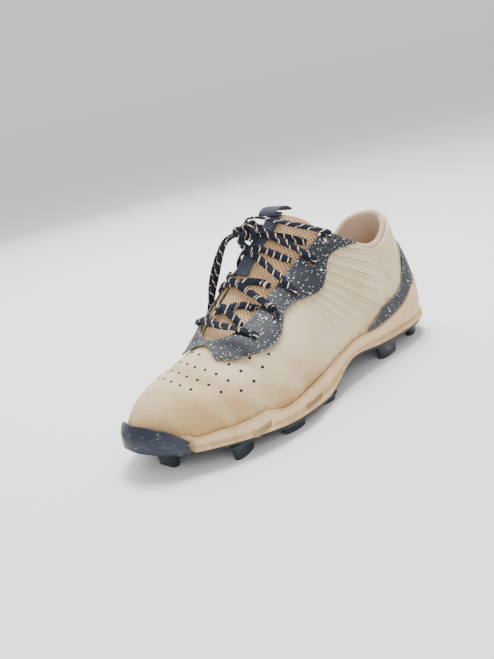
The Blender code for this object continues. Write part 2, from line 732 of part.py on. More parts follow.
# Top edge of the rubber bumper from the ridge to its rear end, as heights on the upper.
BUMPER_BORDER = [
    Border(-0.4900, 1.000), Border(-0.4885, 0.800), Border(-0.4840, 0.600),
    Border(-0.4760, 0.420), Border(-0.4650, 0.290), Border(-0.4505, 0.150),
    Border(-0.4344, 0.020),
]
BUMPER_SEAT = TOE_WALL + CLEARANCE * 2.5


def make_toe_bumper(material):
    """Thick rubber wrapped round the toe, on the plate and against the upper.

    Each column starts on the plate, rises to the feather line and then runs up the
    upper to the bumper's top edge; the middle column follows the ridge.
    """
    border = np.array([(edge.station, edge.height) for edge in BUMPER_BORDER])

    def column(side, share, inner):
        along = np.linspace(0.0, 1.0, len(border))
        top_station = float(np.interp(share, along, border[:, 0]))
        top_height = float(np.interp(share, along, border[:, 1]))
        angle = share * math.pi / 2
        station = -0.5 + (0.5 + BUMPER_END) * (1 - math.cos(angle))
        points = []
        for rise in (0.0, 0.5, 1.0):
            low = float(plate_level(station)) + SPLIT_GAP * 2
            level = low + (float(feather_height(station)) - low) * rise
            out = BUMPER_SEAT if inner else BUMPER_SEAT + BUMPER_WALL
            points.append(sole_wall(station, side, level, out))
        for rise in (0.35, 0.7, 1.0):
            place = station + (top_station - station) * rise
            height = 1.0 if share == 0.0 else top_height * rise
            above_cup = float(smooth_step((top_height * rise - COVERED_SHARE - 0.1) / 0.3))
            seat = BUMPER_SEAT + (CLEARANCE * 2 - BUMPER_SEAT) * above_cup
            out = seat if inner else seat + BUMPER_WALL * (1 - 0.35 * rise)
            points.append(last_form(place, side, height, out))
        return np.stack(points)

    shares = np.linspace(0.0, 1.0, 11)

    def whole(inner):
        outer_side = [column(1, share, inner) for share in shares[::-1]]
        inner_side = [column(-1, share, inner) for share in shares[1:]]
        return np.stack(outer_side + inner_side)

    return shell_body("toe_bumper", whole(False), whole(True), material)


def make_insole(material):
    """The sock liner: it lies on the cup's bed, inside the upper, thinner at the toe."""
    inset = UPPER_WALL + CLEARANCE * 1.5

    def bed(rise, draw_in):
        def point(station, side):
            ridge = float(last_form(station, side, 1.0)[2])
            foot = float(feather_height(station))
            level = foot + min(INSOLE_THICKNESS, (ridge - foot) * 0.3) * rise
            height = height_on_upper(station, side, level)
            place = last_form(station, side, height, -inset - draw_in)
            place[2] = level
            return place

        def half_ring(stations, side):
            return np.array([point(float(station), side) for station in stations])
        return ring(half_ring)

    rings = [bed(0.0, 0.0003), bed(0.75, 0.0003), bed(1.0, 0.0012)]
    return capped_body("insole", rings, material)


def make_heel_counter(material):
    """The moulded counter round the heel, with a narrow spine up the back."""
    stations = STATIONS[STATIONS > COUNTER_FRONT[0].station]

    def half_grid(side, out):
        rows = []
        for share in (0.0, 0.35, 0.7, 1.0):
            points = []
            for station in stations:
                low = float(sidewall_top_share(station, side)[0]) + COUNTER_SEAT
                high = float(curve_value(COUNTER_FRONT, "height", station))
                high = max(high, low + COUNTER_TIP)
                points.append(last_form(station, side, low + (high - low) * share, out))
            rows.append(np.stack(points))
        return np.stack(rows, axis=1)

    def whole(out):
        outer_side = half_grid(1, out)
        inner_side = half_grid(-1, out)
        return np.concatenate([outer_side, inner_side[::-1]])

    return shell_body("heel_counter", whole(CLEARANCE + OVERLAY_WALL), whole(CLEARANCE),
                      material)


COUNTER_SEAT = 0.008
COUNTER_TIP = 0.012
LINING_START = 0.165
LINING_DEPTH = (0.56, 0.70, 0.85, 1.0)


def make_collar_lining(material):
    """The padded collar: a closed roll inside the topline, standing a little above it."""
    stations = np.concatenate([[LINING_START], STATIONS[STATIONS > LINING_START + 0.01]])
    skin = -(UPPER_WALL + CLEARANCE)

    def profile(station, side):
        fullness = smooth_step((station - LINING_START) / 0.05) * 0.6 + 0.4
        pad = LINING_PAD * fullness
        outer = [last_form(station, side, h, skin) for h in LINING_DEPTH]
        inner = [last_form(station, side, h, skin - pad) for h in LINING_DEPTH[::-1]]
        inner[-1] = last_form(station, side, LINING_DEPTH[0], skin - pad * 0.4)
        rise = LINING_RISE * fullness
        crest_out = outer[-1] + np.array([0, 0, rise * 0.75])
        crest_in = inner[0] + np.array([0, 0, rise * 0.75])
        crest = (outer[-1] + inner[0]) / 2 + np.array([0, 0, rise * 1.25])
        return outer + [crest_out, crest, crest_in] + inner

    loops = [profile(float(s), 1) for s in stations]
    loops += [profile(float(s), -1) for s in stations[::-1]]
    loops = np.array(loops)
    count, size = loops.shape[:2]
    faces = ring_faces(count, size)
    faces.append(tuple(range(size)))
    faces.append(tuple((count - 1) * size + place for place in range(size)))
    return mesh_object("collar_lining", loops.reshape(-1, 3), faces, material)


def catmull(points, samples):
    """A smooth curve through points, sampled evenly between them."""
    points = np.asarray(points, dtype=float)
    before = 2 * points[0] - points[1]
    after = 2 * points[-1] - points[-2]
    padded = np.vstack([before, points, after])
    out = []
    for t in np.linspace(0, len(points) - 1, samples):
        k = min(int(t), len(points) - 2)
        f = t - k
        p0, p1, p2, p3 = padded[k:k + 4]
        out.append(0.5 * ((2 * p1) + (p2 - p0) * f + (2 * p0 - 5 * p1 + 4 * p2 - p3) * f ** 2
                          + (3 * p1 - p0 - 3 * p2 + p3) * f ** 3))
    return np.array(out)


def add_shoulders(row):
    """Round the arch between a tongue row's two edges and its middle."""
    row = list(row)
    shoulders = []
    for edge, place, height in ((row[2], OUTER_SHOULDER_PLACE, OUTER_SHOULDER_HEIGHT),
                                (row[4], INNER_SHOULDER_PLACE, INNER_SHOULDER_HEIGHT)):
        shoulder = edge + (row[3] - edge) * place
        shoulder[2] = edge[2] + (row[3][2] - edge[2]) * height
        shoulders.append(shoulder)
    return np.array(row[:3] + [shoulders[0], row[3], shoulders[1]] + row[4:])


def tongue_controls():
    """Rows across the tongue: flap, side, edge, middle, edge, side, flap."""
    skin = -(UPPER_WALL + TONGUE_SEAT)
    rows = []
    for row in TONGUE_ROWS:
        flap = [last_form(row.station, side, row.flap, skin) for side in (1, -1)]
        turn = [last_form(row.station, side, row.flap + (row.edge - row.flap) * 0.5, skin)
                for side in (1, -1)]
        edge = [last_form(row.station, side, row.edge, skin) for side in (1, -1)]
        middle = (edge[0] + edge[1]) / 2
        if row.station <= THROAT_START:
            ridge = last_form(row.station, 1, 1.0, skin)
            middle = np.array([ridge[0], ridge[1], min(middle[2] + INSTEP_HEIGHT * row.crown,
                                                       ridge[2] - CLEARANCE)])
        else:
            middle = middle + np.array([-row.sway * UPPER_HALF, -row.set_back * LAST_LENGTH,
                                        row.crown * INSTEP_HEIGHT])
        rows.append([flap[0], turn[0], edge[0], middle, edge[1], turn[1], flap[1]])
    base = np.array(rows[-1])
    middle_x = base[3][0]
    for top in TONGUE_TOP:
        rise = np.array([top.flap, (top.flap + top.edge) / 2, top.edge, top.middle, top.edge,
                         (top.flap + top.edge) / 2, top.flap]) * INSTEP_HEIGHT
        back = np.array([top.flap_back, (top.flap_back + top.edge_back) / 2, top.edge_back,
                         top.middle_back, top.edge_back,
                         (top.flap_back + top.edge_back) / 2, top.flap_back]) * LAST_LENGTH
        narrow = np.array([top.flap_narrow, (top.flap_narrow + top.edge_narrow) / 2,
                           top.edge_narrow, 1.0, top.edge_narrow,
                           (top.flap_narrow + top.edge_narrow) / 2, top.flap_narrow])
        row = base.copy()
        row[:, 0] = middle_x + (row[:, 0] - middle_x) * narrow
        row[:, 1] += back
        row[:, 2] += rise
        rows.append(row)
    return np.array([add_shoulders(row) for row in rows])


def grid_normals(grid):
    along = np.gradient(grid, axis=0)
    across = np.gradient(grid, axis=1)
    normal = np.cross(along, across)
    normal = normal / np.linalg.norm(normal, axis=2, keepdims=True)
    middle = normal[grid.shape[0] // 2, grid.shape[1] // 2]
    return normal if middle[2] > 0 else -normal


TONGUE_COLUMNS = 13


def tongue_surface():
    """The tongue's upper face as a grid: rows up the tongue, columns across it."""
    return np.array([catmull(row, TONGUE_COLUMNS) for row in tongue_controls()])


def make_tongue(material):
    outside = tongue_surface()
    normal = grid_normals(outside)
    across = np.linspace(-1, 1, outside.shape[1])
    along = np.linspace(0, 1, outside.shape[0])
    body = np.clip((1 - np.abs(across)) / 0.3, 0, 1)[None, :]
    ends = np.clip((1 - along) / 0.12, 0, 1)[:, None]
    thick = TONGUE_HEM + (TONGUE_PAD - TONGUE_HEM) * body * ends
    inside = outside - normal * thick[..., None]
    return shell_body("tongue", outside, inside, material)


def along_row(row, distance):
    """The point at a signed distance along a tongue row from its middle column."""
    steps = np.linalg.norm(np.diff(row, axis=0), axis=1)
    travel = np.concatenate([[0.0], np.cumsum(steps)])
    travel = travel - travel[len(row) // 2]
    return np.array([np.interp(distance, travel, row[:, axis]) for axis in range(3)])


def make_tongue_webbing(material):
    """A flat strap on the tongue's middle; its upper end is folded into a loop."""
    surface = tongue_surface()
    normal = grid_normals(surface)
    places = np.arange(int(WEBBING_START_ROW) + 1.0, len(surface))
    places = np.concatenate([[WEBBING_START_ROW], places])
    across = np.linspace(-0.5, 0.5, 7) * WEBBING_WIDTH

    def strip(lift):
        rows = []
        for place in places:
            low = int(min(place, len(surface) - 2))
            share = place - low
            row = surface[low] * (1 - share) + surface[low + 1] * share
            up = normal[low] * (1 - share) + normal[low + 1] * share
            points = np.array([along_row(row, distance) for distance in across])
            ups = np.array([along_row(row + up, distance) - along_row(row, distance)
                            for distance in across])
            ups = ups / np.linalg.norm(ups, axis=1, keepdims=True)
            rows.append(points + ups * lift)
        edge = rows[-1]
        for index, point in enumerate(WEBBING_LOOP):
            turn = WEBBING_LOOP[min(index + 1, len(WEBBING_LOOP) - 1)]
            before = WEBBING_LOOP[max(index - 1, 0)]
            run = np.array([before.forward - turn.forward, turn.up - before.up])
            run = run / np.linalg.norm(run)
            thick = lift - WEBBING_SEAT
            step = np.array([0.0, -point.forward * WEBBING_WIDTH - run[1] * thick,
                             point.up * WEBBING_WIDTH + run[0] * thick])
            base = surface[-1][surface.shape[1] // 2]
            flat = edge * 0.25 + (base + np.stack([-across, across * 0, across * 0], axis=1)) * 0.75
            flat[:, 1:] = base[1:]
            rows.append(flat + step)
        return np.array(rows)

    return shell_body("tongue_webbing", strip(WEBBING_SEAT + WEBBING_THICKNESS),
                      strip(WEBBING_SEAT), material)


def bvh_of(piece):
    mesh = piece.data
    points = [vertex.co.copy() for vertex in mesh.vertices]
    return BVHTree.FromPolygons(points, [tuple(face.vertices) for face in mesh.polygons])


def taut(travel, level):
    """The lowest line over the levels that a tight lace takes: their upper hull."""
    kept = []
    for place, height in zip(travel, level):
        while len(kept) > 1:
            (x1, z1), (x2, z2) = kept[-2:]
            if (z2 - z1) * (place - x1) > (height - z1) * (x2 - x1):
                break
            kept.pop()
        kept.append((place, height))
    return np.interp(travel, [x for x, _ in kept], [z for _, z in kept])


TAUT_SAMPLES = 70
BAR_SAMPLES = 15
CROSSING_SAMPLES = 13
TOP_SAMPLES = 17
RAY_START = 0.013
STEEPEST_TILT = 2.5
LIFT_STEP = 0.00025
LIFT_ATTEMPTS = 120
LACE_PROFILE = [(1.0, 0.0), (0.55, 0.9), (-0.55, 0.9), (-1.0, 0.0), (-0.55, -0.9), (0.55, -0.9)]


def strand_rings(route, supports, samples):
    """Rings of a flat lace drawn tight over what lies under its route.

    Each support is a tree and the depth by which the lace may sink into it.  Rays fall on
    the supports along five lines across the lace's width.  A line through the hits gives
    its tilt and the level that it starts from; where it then still meets a support, that
    level is raised by a small step until it lies clear.
    """
    plan = catmull(route, TAUT_SAMPLES)
    run = np.gradient(plan[:, :2], axis=0)
    run = run / np.linalg.norm(run, axis=1, keepdims=True)
    side = np.stack([run[:, 1], -run[:, 0]], axis=1)
    offsets = np.linspace(-1.0, 1.0, 5)
    half_width = LACE_WIDTH / 2
    half_thick = LACE_THICKNESS / 2
    hits = np.zeros((len(offsets), len(plan)))
    for index, offset in enumerate(offsets):
        spots = plan[:, :2] + side * offset * half_width
        for place, (x, y) in enumerate(spots):
            best = plan[place, 2] - 0.02
            for tree, sink in supports:
                hit = tree.ray_cast(Vector((x, y, plan[place, 2] + RAY_START)),
                                    Vector((0, 0, -1)))[0]
                if hit is not None:
                    best = max(best, hit.z - sink)
            hits[index, place] = best
    travel = np.concatenate([[0.0], np.cumsum(np.linalg.norm(np.diff(plan[:, :2], axis=0),
                                                             axis=1))])
    tilts = np.clip(np.polyfit(offsets * half_width, hits, 1)[0], -STEEPEST_TILT, STEEPEST_TILT)
    tilts = np.convolve(np.pad(tilts, 3, mode="edge"), np.ones(7) / 7, mode="valid")
    levels = np.max(hits - np.outer(offsets, tilts) * half_width, axis=0) + half_thick * 0.6
    for _ in range(LIFT_ATTEMPTS):
        rings, places = rings_along(plan, side, tilts, taut(travel, levels), samples)
        touched = touched_rings(rings, supports)
        if not touched:
            break
        for index in touched:
            rise = np.clip(1 - np.abs(np.linspace(0, 1, len(plan)) - places[index])
                           / (places[1] * 0.9), 0, 1)
            levels = levels + rise * LIFT_STEP
    return rings


def rings_along(plan, side, tilts, level, samples):
    """The lace's rings at even steps of its line, and their shares of the way."""
    line = np.column_stack([plan[:, :2], level])
    length = np.concatenate([[0.0], np.cumsum(np.linalg.norm(np.diff(line, axis=0), axis=1))])
    spots = np.linspace(0.0, length[-1], samples)
    centre = np.column_stack([np.interp(spots, length, line[:, axis]) for axis in range(3)])
    along = np.gradient(centre, axis=0)
    along = along / np.linalg.norm(along, axis=1, keepdims=True)
    across = np.column_stack([np.interp(spots, length, side[:, 0]),
                              np.interp(spots, length, side[:, 1]),
                              np.interp(spots, length, tilts)])
    across = across - along * np.sum(across * along, axis=1, keepdims=True)
    across = across / np.linalg.norm(across, axis=1, keepdims=True)
    up = np.cross(across, along)
    up = up * np.sign(up[:, 2:3])
    rings = [np.array([place + a * u * LACE_WIDTH / 2 + b * v * LACE_THICKNESS / 2
                       for u, v in LACE_PROFILE]) for place, a, b in zip(centre, across, up)]
    return rings, np.interp(spots, length, np.linspace(0, 1, len(plan)))


def touched_rings(rings, supports):
    """Numbers of the rings whose faces meet a support once the lace is a little thicker."""
    size = len(rings[0])
    grown = []
    for ring_points in rings:
        middle = ring_points.mean(axis=0)
        reach = np.linalg.norm(ring_points - middle, axis=1, keepdims=True)
        grown.append(middle + (ring_points - middle) * (1 + CLEARANCE / reach))
    points = np.concatenate(grown)
    points = np.concatenate([points, np.array([grown[0].mean(axis=0), grown[-1].mean(axis=0)])])
    faces = ring_faces(len(rings), size)
    last = (len(rings) - 1) * size
    for place in range(size):
        faces.append((place, (place + 1) % size, len(points) - 2))
        faces.append((last + place, last + (place + 1) % size, len(points) - 1))
    touched = set()
    for tree, sink in supports:
        body = BVHTree.FromPolygons([Vector(point) for point in points + [0, 0, sink]], faces)
        for face, other in body.overlap(tree):
            touched |= {min(number // size, len(rings) - 1) for number in faces[face][:2]}
            touched |= {min(number // size, len(rings) - 1) for number in faces[face][-2:]
                        if number < len(points) - 2}
    return touched


def strand_body(name, rings, material):
    size = len(rings[0])
    faces = ring_faces(len(rings), size)
    faces.append(tuple(range(size)))
    faces.append(tuple((len(rings) - 1) * size + place for place in range(size)))
    return mesh_object(name, np.concatenate(rings), faces, material)


def eyelet_end(eyelet, side):
    """Where a strand starts: on the eyestay, over an eyelet."""
    return last_form(eyelet.station, side, eyelet.height,
                     OVERLAY_SEAT + OVERLAY_WALL + CLEARANCE + LACE_THICKNESS / 2)


def outer_notch(surface, notch):
    """Where a strand goes under the throat's outer edge: a place on the tongue."""
    low = int(notch.row)
    middle = (surface.shape[1] - 1) / 2
    column = middle * (1 - notch.share)
    near = int(column)
    rows = surface[low] * (1 - notch.row + low) + surface[low + 1] * (notch.row - low)
    return rows[near] * (1 - column + near) + rows[near + 1] * (column - near)


def inner_notch(notch):
    """Where a strand goes under the throat's inner edge: it stops just inside it."""
    edge = last_form(notch.inner, -1, 1.0)
    return edge + np.array([LACE_THICKNESS + CLEARANCE * 2, 0.0, -0.02])


def over_tongue(surface, row):
    """The tongue's middle at a row number with a fraction, well under a strand there."""
    low = min(int(row), len(surface) - 2)
    middle = surface.shape[1] // 2
    point = surface[low][middle] * (1 - row + low) + surface[low + 1][middle] * (row - low)
    return point - np.array([0.0, 0.0, LACE_WIDTH])


def make_laces(material, below):
    """The bar, the four crossings and the top run, each one solid, pulled tight."""
    supports = [(bvh_of(piece), 0.0) for piece in below]
    surface = tongue_surface()
    bar_route = [eyelet_end(EYELETS[0], 1), over_tongue(surface, BAR_ROW),
                 eyelet_end(EYELETS[0], -1)]
    made = [strand_body("lace_bar", strand_rings(bar_route, supports, BAR_SAMPLES), material)]
    supports.append((bvh_of(made[0]), 0.0))
    for number in range(1, EYELET_COUNT):
        if number == 1:
            first = (outer_notch(surface, NOTCHES[1]), inner_notch(NOTCHES[0]))
            second = (outer_notch(surface, NOTCHES[0]), inner_notch(NOTCHES[1]))
        else:
            first = (outer_notch(surface, NOTCHES[number]),
                     eyelet_end(EYELETS[number - 1], -1))
            second = (eyelet_end(EYELETS[number - 1], 1), inner_notch(NOTCHES[number]))
        middle = over_tongue(surface, CROSSING_ROWS[number - 1])
        under = strand_body(f"lace_cross_{number}",
                            strand_rings([first[0], middle, first[1]], supports,
                                          CROSSING_SAMPLES), material)
        pressed = supports + [(bvh_of(under), CLEARANCE * 2.5)]
        over = strand_body("over", strand_rings([second[0], middle, second[1]], pressed,
                                                CROSSING_SAMPLES), material)
        supports.append((bvh_of(under), 0.0))
        supports.append((bvh_of(over), 0.0))
        hide_cutter(over)
        boolean(under, over, "UNION")
        made.append(under)
    middle = over_tongue(surface, TOP_ROW)
    beside_strap = middle + np.array([-WEBBING_WIDTH / 2 - LACE_WIDTH, LACE_WIDTH, -LACE_WIDTH])
    top_route = [eyelet_end(EYELETS[-1], 1), middle, beside_strap, eyelet_end(EYELETS[-1], -1)]
    made.append(strand_body("lace_top", strand_rings(top_route, supports, TOP_SAMPLES), material))
    return made


def make_tube(name, points, diameter, material):
    """A round cord or rod through the points, with closed ends."""
    curve = bpy.data.curves.new(name, "CURVE")
    curve.dimensions = "3D"
    curve.bevel_depth = diameter / 2
    curve.bevel_resolution = 2
    curve.use_fill_caps = True
    spline = curve.splines.new("POLY")
    spline.points.add(len(points) - 1)
    for spot, point in zip(spline.points, points):
        spot.co = (*point, 1.0)
    curve.materials.append(material)
    tube = bpy.data.objects.new(name, curve)
    bpy.data.collections["baseball_cleat"].objects.link(tube)
    return tube


def make_knot(material):
    """The core of the knot: one rounded lump under the loops that scene.py winds."""
    shape = bmesh.new()
    bmesh.ops.create_uvsphere(shape, u_segments=10, v_segments=6, radius=1.0)
    for vertex in shape.verts:
        vertex.co = [middle + share * size for middle, share, size
                     in zip(KNOT_CENTRE, vertex.co, KNOT_SIZE)]
    mesh = bpy.data.meshes.new("lace_knot")
    shape.to_mesh(mesh)
    shape.free()
    mesh.materials.append(material)
    knot = bpy.data.objects.new("lace_knot", mesh)
    bpy.data.collections["baseball_cleat"].objects.link(knot)
    return knot


def make_lace_ends(material, tip_material):
    """Each free end is a tube, and its aglet follows it a clearance further on."""
    for side, route in (("outer", END_OUTER), ("inner", END_INNER)):
        points = catmull([np.array(point) for point in route], END_SAMPLES)
        make_tube(f"lace_end_{side}", points, LACE_END_DIAMETER, material)
        run = points[-1] - points[-2]
        run = run / np.linalg.norm(run)
        start = points[-1] + run * CLEARANCE
        make_tube(f"aglet_{side}", [start, start + run * AGLET_LENGTH], AGLET_DIAMETER,
                  tip_material)


def centre_on_floor():
    """Put the shoe's middle over the origin with its studs on the floor."""
    bpy.context.view_layer.update()
    graph = bpy.context.evaluated_depsgraph_get()
    corners = []
    pieces = bpy.data.collections["baseball_cleat"].objects
    for piece in pieces:
        if piece.name in CORD_PIECES:
            continue
        shape = piece.evaluated_get(graph).to_mesh()
        points = np.array([vertex.co[:] for vertex in shape.vertices])
        corners += [points.min(axis=0), points.max(axis=0)]
    low = np.min(corners, axis=0)
    high = np.max(corners, axis=0)
    root = bpy.data.objects.new("shoe", None)
    bpy.context.scene.collection.objects.link(root)
    root.location = (-(low[0] + high[0]) / 2, -(low[1] + high[1]) / 2, -low[2])
    for piece in list(pieces) + list(cutter_collection().objects):
        piece.parent = root


def build():
    for leftover in list(bpy.data.objects):
        bpy.data.objects.remove(leftover)
    scene = bpy.context.scene
    for name in ("baseball_cleat", "cutters"):
        scene.collection.children.link(bpy.data.collections.new(name))
    ivory = make_material("synthetic_leather", (0.83, 0.77, 0.65), 0.55)
    foam = make_material("moulded_foam", (0.78, 0.67, 0.52), 0.6)
    rubber = make_material("dark_rubber", (0.05, 0.06, 0.07), 0.5)
    slate = make_material("bumper_rubber", (0.12, 0.15, 0.20), 0.5)
    charcoal = make_material("speckled_overlay", (0.13, 0.14, 0.16), 0.5)
    knit = make_material("collar_knit", (0.78, 0.62, 0.50), 0.9)
    mesh_cloth = make_material("tongue_mesh", (0.76, 0.57, 0.38), 0.9)
    liner = make_material("liner_cloth", (0.60, 0.50, 0.40), 0.9)
    lace = make_material("woven_lace", (0.08, 0.10, 0.16), 0.8)
    webbing = make_material("grey_webbing", (0.16, 0.18, 0.22), 0.8)
    upper = make_upper(ivory)
    midsole = make_midsole(foam)
    make_outsole(rubber)
    make_toe_bumper(slate)
    make_insole(liner)
    eyestay = make_eyestay(charcoal)
    make_heel_counter(charcoal)
    make_collar_lining(knit)
    tongue = make_tongue(mesh_cloth)
    strap = make_tongue_webbing(webbing)
    make_laces(lace, [upper, eyestay, tongue, strap])
    make_knot(lace)
    make_lace_ends(lace, make_material("aglet_plastic", (0.07, 0.08, 0.12), 0.3))
    bores = make_eyelet_cutters()
    boolean(upper, bores, "DIFFERENCE")
    boolean(eyestay, bores, "DIFFERENCE")
    centre_on_floor()


build()
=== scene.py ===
# %% [markdown]
# # A worn baseball cleat
#
# This lesson dresses one low field shoe.  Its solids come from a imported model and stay
# where they are.  The cells that follow set a camera, give each visible surface its own
# material, add small details as meshes, and light the shoe.  Lengths are in metres.

# %% Load the frame
import math
from collections import namedtuple

import bmesh
import bpy
import numpy as np
from mathutils import Matrix, Vector
from mathutils.bvhtree import BVHTree


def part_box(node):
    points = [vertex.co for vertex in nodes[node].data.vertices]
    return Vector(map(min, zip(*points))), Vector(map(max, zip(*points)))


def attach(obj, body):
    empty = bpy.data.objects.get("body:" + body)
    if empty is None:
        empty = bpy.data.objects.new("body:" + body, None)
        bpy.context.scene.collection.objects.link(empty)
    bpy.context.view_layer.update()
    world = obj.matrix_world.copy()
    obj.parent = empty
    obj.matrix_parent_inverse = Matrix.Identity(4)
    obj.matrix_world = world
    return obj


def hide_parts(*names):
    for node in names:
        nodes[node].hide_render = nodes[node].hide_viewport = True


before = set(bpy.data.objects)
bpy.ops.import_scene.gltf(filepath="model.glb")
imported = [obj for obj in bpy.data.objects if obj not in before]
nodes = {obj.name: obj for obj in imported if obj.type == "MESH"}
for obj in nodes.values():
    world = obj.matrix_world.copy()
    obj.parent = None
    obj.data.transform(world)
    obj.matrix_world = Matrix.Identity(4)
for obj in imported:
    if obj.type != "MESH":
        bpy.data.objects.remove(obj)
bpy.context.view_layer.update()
print("nodes:", len(nodes))

# %% [markdown]
# ## Camera
#
# The shoe is seen from the outer side and a little from the front, with the camera held
# slightly askew.  A camera is easiest to place by the point that it looks at, the turn and
# height of the view, its distance and its roll, so these five values make its matrix.

# %% Place the camera
TARGET = Vector((-0.0535, 0.0105, 0.040))
AZIMUTH = math.radians(48.3)
ELEVATION = math.radians(17.1)
DISTANCE = 0.634
ROLL = math.radians(-12.7)
LENS = 43.7
SENSOR = 36.0


def camera_matrix(target, azimuth, elevation, distance, roll):
    """Look at the target: back points from it to the camera, and roll turns right and up."""
    back = Vector((math.sin(azimuth) * math.cos(elevation),
                   -math.cos(azimuth) * math.cos(elevation), math.sin(elevation)))
    right = Vector((math.cos(azimuth), math.sin(azimuth), 0.0))
    up = back.cross(right)
    rolled_right = right * math.cos(roll) + up * math.sin(roll)
    rolled_up = up * math.cos(roll) - right * math.sin(roll)
    matrix = Matrix((rolled_right, rolled_up, back)).transposed().to_4x4()
    matrix.translation = target + back * distance
    return matrix


camera_data = bpy.data.cameras.new("camera")
camera_data.lens = LENS
camera_data.sensor_width = SENSOR
camera_data.sensor_fit = "VERTICAL"
camera_data.sensor_height = SENSOR
camera = bpy.data.objects.new("camera", camera_data)
camera.matrix_world = camera_matrix(TARGET, AZIMUTH, ELEVATION, DISTANCE, ROLL)
bpy.context.scene.collection.objects.link(camera)
bpy.context.scene.camera = camera
print("camera at", [round(value, 3) for value in camera.matrix_world.translation])

# %% [markdown]
# ## Ribbons and tubes
#
# A lace is a flat woven tube.  Its surface is a rounded profile carried along a smooth
# line: at each place of the line one arrow points along the lace's width and another
# through its thickness.  Working out all rings at once with numpy is short and fast, and
# the same arrays give the texture coordinates, which run in metres along the lace.


# %% Make a smooth line
def smooth_line(points, samples):
    """Catmull-Rom curve: every place blends its four nearest points with cubic weights."""
    points = np.asarray(points, dtype=float)
    padded = np.vstack([2 * points[0] - points[1], points, 2 * points[-1] - points[-2]])
    place = np.linspace(0, len(points) - 1, samples)
    low = np.minimum(place.astype(int), len(points) - 2)
    t = (place - low)[:, None]
    p0, p1, p2, p3 = (padded[low + step] for step in range(4))
    return 0.5 * (2 * p1 + (p2 - p0) * t + (2 * p0 - 5 * p1 + 4 * p2 - p3) * t ** 2
                  + (3 * p1 - p0 - 3 * p2 + p3) * t ** 3)


def unit(vectors):
    """Each row divided by its own length."""
    return vectors / np.linalg.norm(vectors, axis=-1, keepdims=True)


# %% Put rings into a mesh
def rings_to_object(name, rings, lengths, material):
    """A closed tube from rings (places, sides, 3), with UV = metres along, share around."""
    places, sides = rings.shape[:2]
    row = np.arange(places - 1)[:, None] * sides
    side = np.arange(sides)[None, :]
    after = (side + 1) % sides
    quads = np.stack([row + side, row + after, row + sides + after, row + sides + side],
                     axis=-1).reshape(-1, 4)
    caps = [list(range(sides))[::-1], list(range((places - 1) * sides, places * sides))]
    mesh = bpy.data.meshes.new(name)
    mesh.from_pydata(rings.reshape(-1, 3).tolist(), [], quads.tolist() + caps)
    around = np.stack([side + 0 * row, side + 1 + 0 * row, side + 1 + 0 * row, side + 0 * row],
                      axis=-1).reshape(-1) / sides
    low = np.repeat(lengths[:-1], sides)
    high = np.repeat(lengths[1:], sides)
    along = np.stack([low, low, high, high], axis=-1).reshape(-1)
    caps_along = np.concatenate([np.full(sides, lengths[0]), np.full(sides, lengths[-1])])
    caps_around = np.tile(np.arange(sides) / sides, 2)
    uv = np.stack([np.concatenate([along, caps_along]),
                   np.concatenate([around, caps_around])], axis=-1)
    mesh.uv_layers.new(name="along").data.foreach_set("uv", uv.reshape(-1))
    mesh.polygons.foreach_set("use_smooth", np.ones(len(mesh.polygons), dtype=bool))
    shape = bmesh.new()
    shape.from_mesh(mesh)
    bmesh.ops.recalc_face_normals(shape, faces=shape.faces)
    shape.to_mesh(mesh)
    shape.free()
    mesh.materials.append(material)
    tube = bpy.data.objects.new(name, mesh)
    bpy.context.scene.collection.objects.link(tube)
    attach(tube, "root")
    return tube


def ribbon_rings(line, widths, thicknesses, hint, sides=14):
    """Oval rings: place + across * cos(a) * width / 2 + through * sin(a) * thickness / 2.

    Across is the hint made square to the line, and through is square to both.
    """
    along = unit(np.gradient(line, axis=0))
    hints = np.broadcast_to(np.asarray(hint, dtype=float), line.shape)
    across = unit(hints - along * np.sum(hints * along, axis=1, keepdims=True))
    through = np.cross(along, across)
    angle = np.linspace(0, 2 * math.pi, sides, endpoint=False)
    wide = np.cos(angle)[None, :, None] * np.reshape(widths, (-1, 1, 1)) / 2
    thick = np.sin(angle)[None, :, None] * np.reshape(thicknesses, (-1, 1, 1)) / 2
    return line[:, None, :] + across[:, None, :] * wide + through[:, None, :] * thick


def line_lengths(line):
    """Metres travelled along a line at each of its points."""
    steps = np.linalg.norm(np.diff(line, axis=0), axis=1)
    return np.concatenate([[0.0], np.cumsum(steps)])


# %% [markdown]
# ## Shared shader groups
#
# Several finishes use the same effects: stains that spread in soft patches, a fine grain,
# white paint flecks and the flecks of a woven lace.  Each is one node group with named
# inputs, so that every material can place it with its own values.  A group gives out only
# colours and values; the shader itself stays in the material.


# %% Helpers for nodes
def put(tree, kind, **settings):
    """Add a node and set its properties."""
    added = tree.nodes.new(kind)
    for key, value in settings.items():
        setattr(added, key, value)
    return added


def wire(tree, source, target):
    """Feed a node's output socket into an input, or set the input to a plain value."""
    if isinstance(source, bpy.types.NodeSocket):
        tree.links.new(source, target)
    else:
        target.default_value = source


def calculate(tree, operation, first, second=0.0, third=0.0):
    """One Math node; its three inputs may be sockets or numbers."""
    added = put(tree, "ShaderNodeMath", operation=operation)
    for value, target in zip((first, second, third), added.inputs):
        wire(tree, value, target)
    return added.outputs[0]


def blend_colour(tree, share, low, high):
    """Mix two colours by a share."""
    added = put(tree, "ShaderNodeMix", data_type="RGBA")
    wire(tree, share, added.inputs["Factor"])
    wire(tree, low, added.inputs["A"])
    wire(tree, high, added.inputs["B"])
    return added.outputs["Result"]


def ramp_value(tree, value, low, high, start=0.0, end=1.0):
    """Map a value from low...high to start...end, with a soft step and no overshoot."""
    added = put(tree, "ShaderNodeMapRange", interpolation_type="SMOOTHSTEP")
    for number, item in enumerate((value, low, high, start, end)):
        wire(tree, item, added.inputs[number])
    return added.outputs["Result"]


def object_place(tree):
    """The place of a point on the object, in metres."""
    return put(tree, "ShaderNodeTexCoord").outputs["Object"]


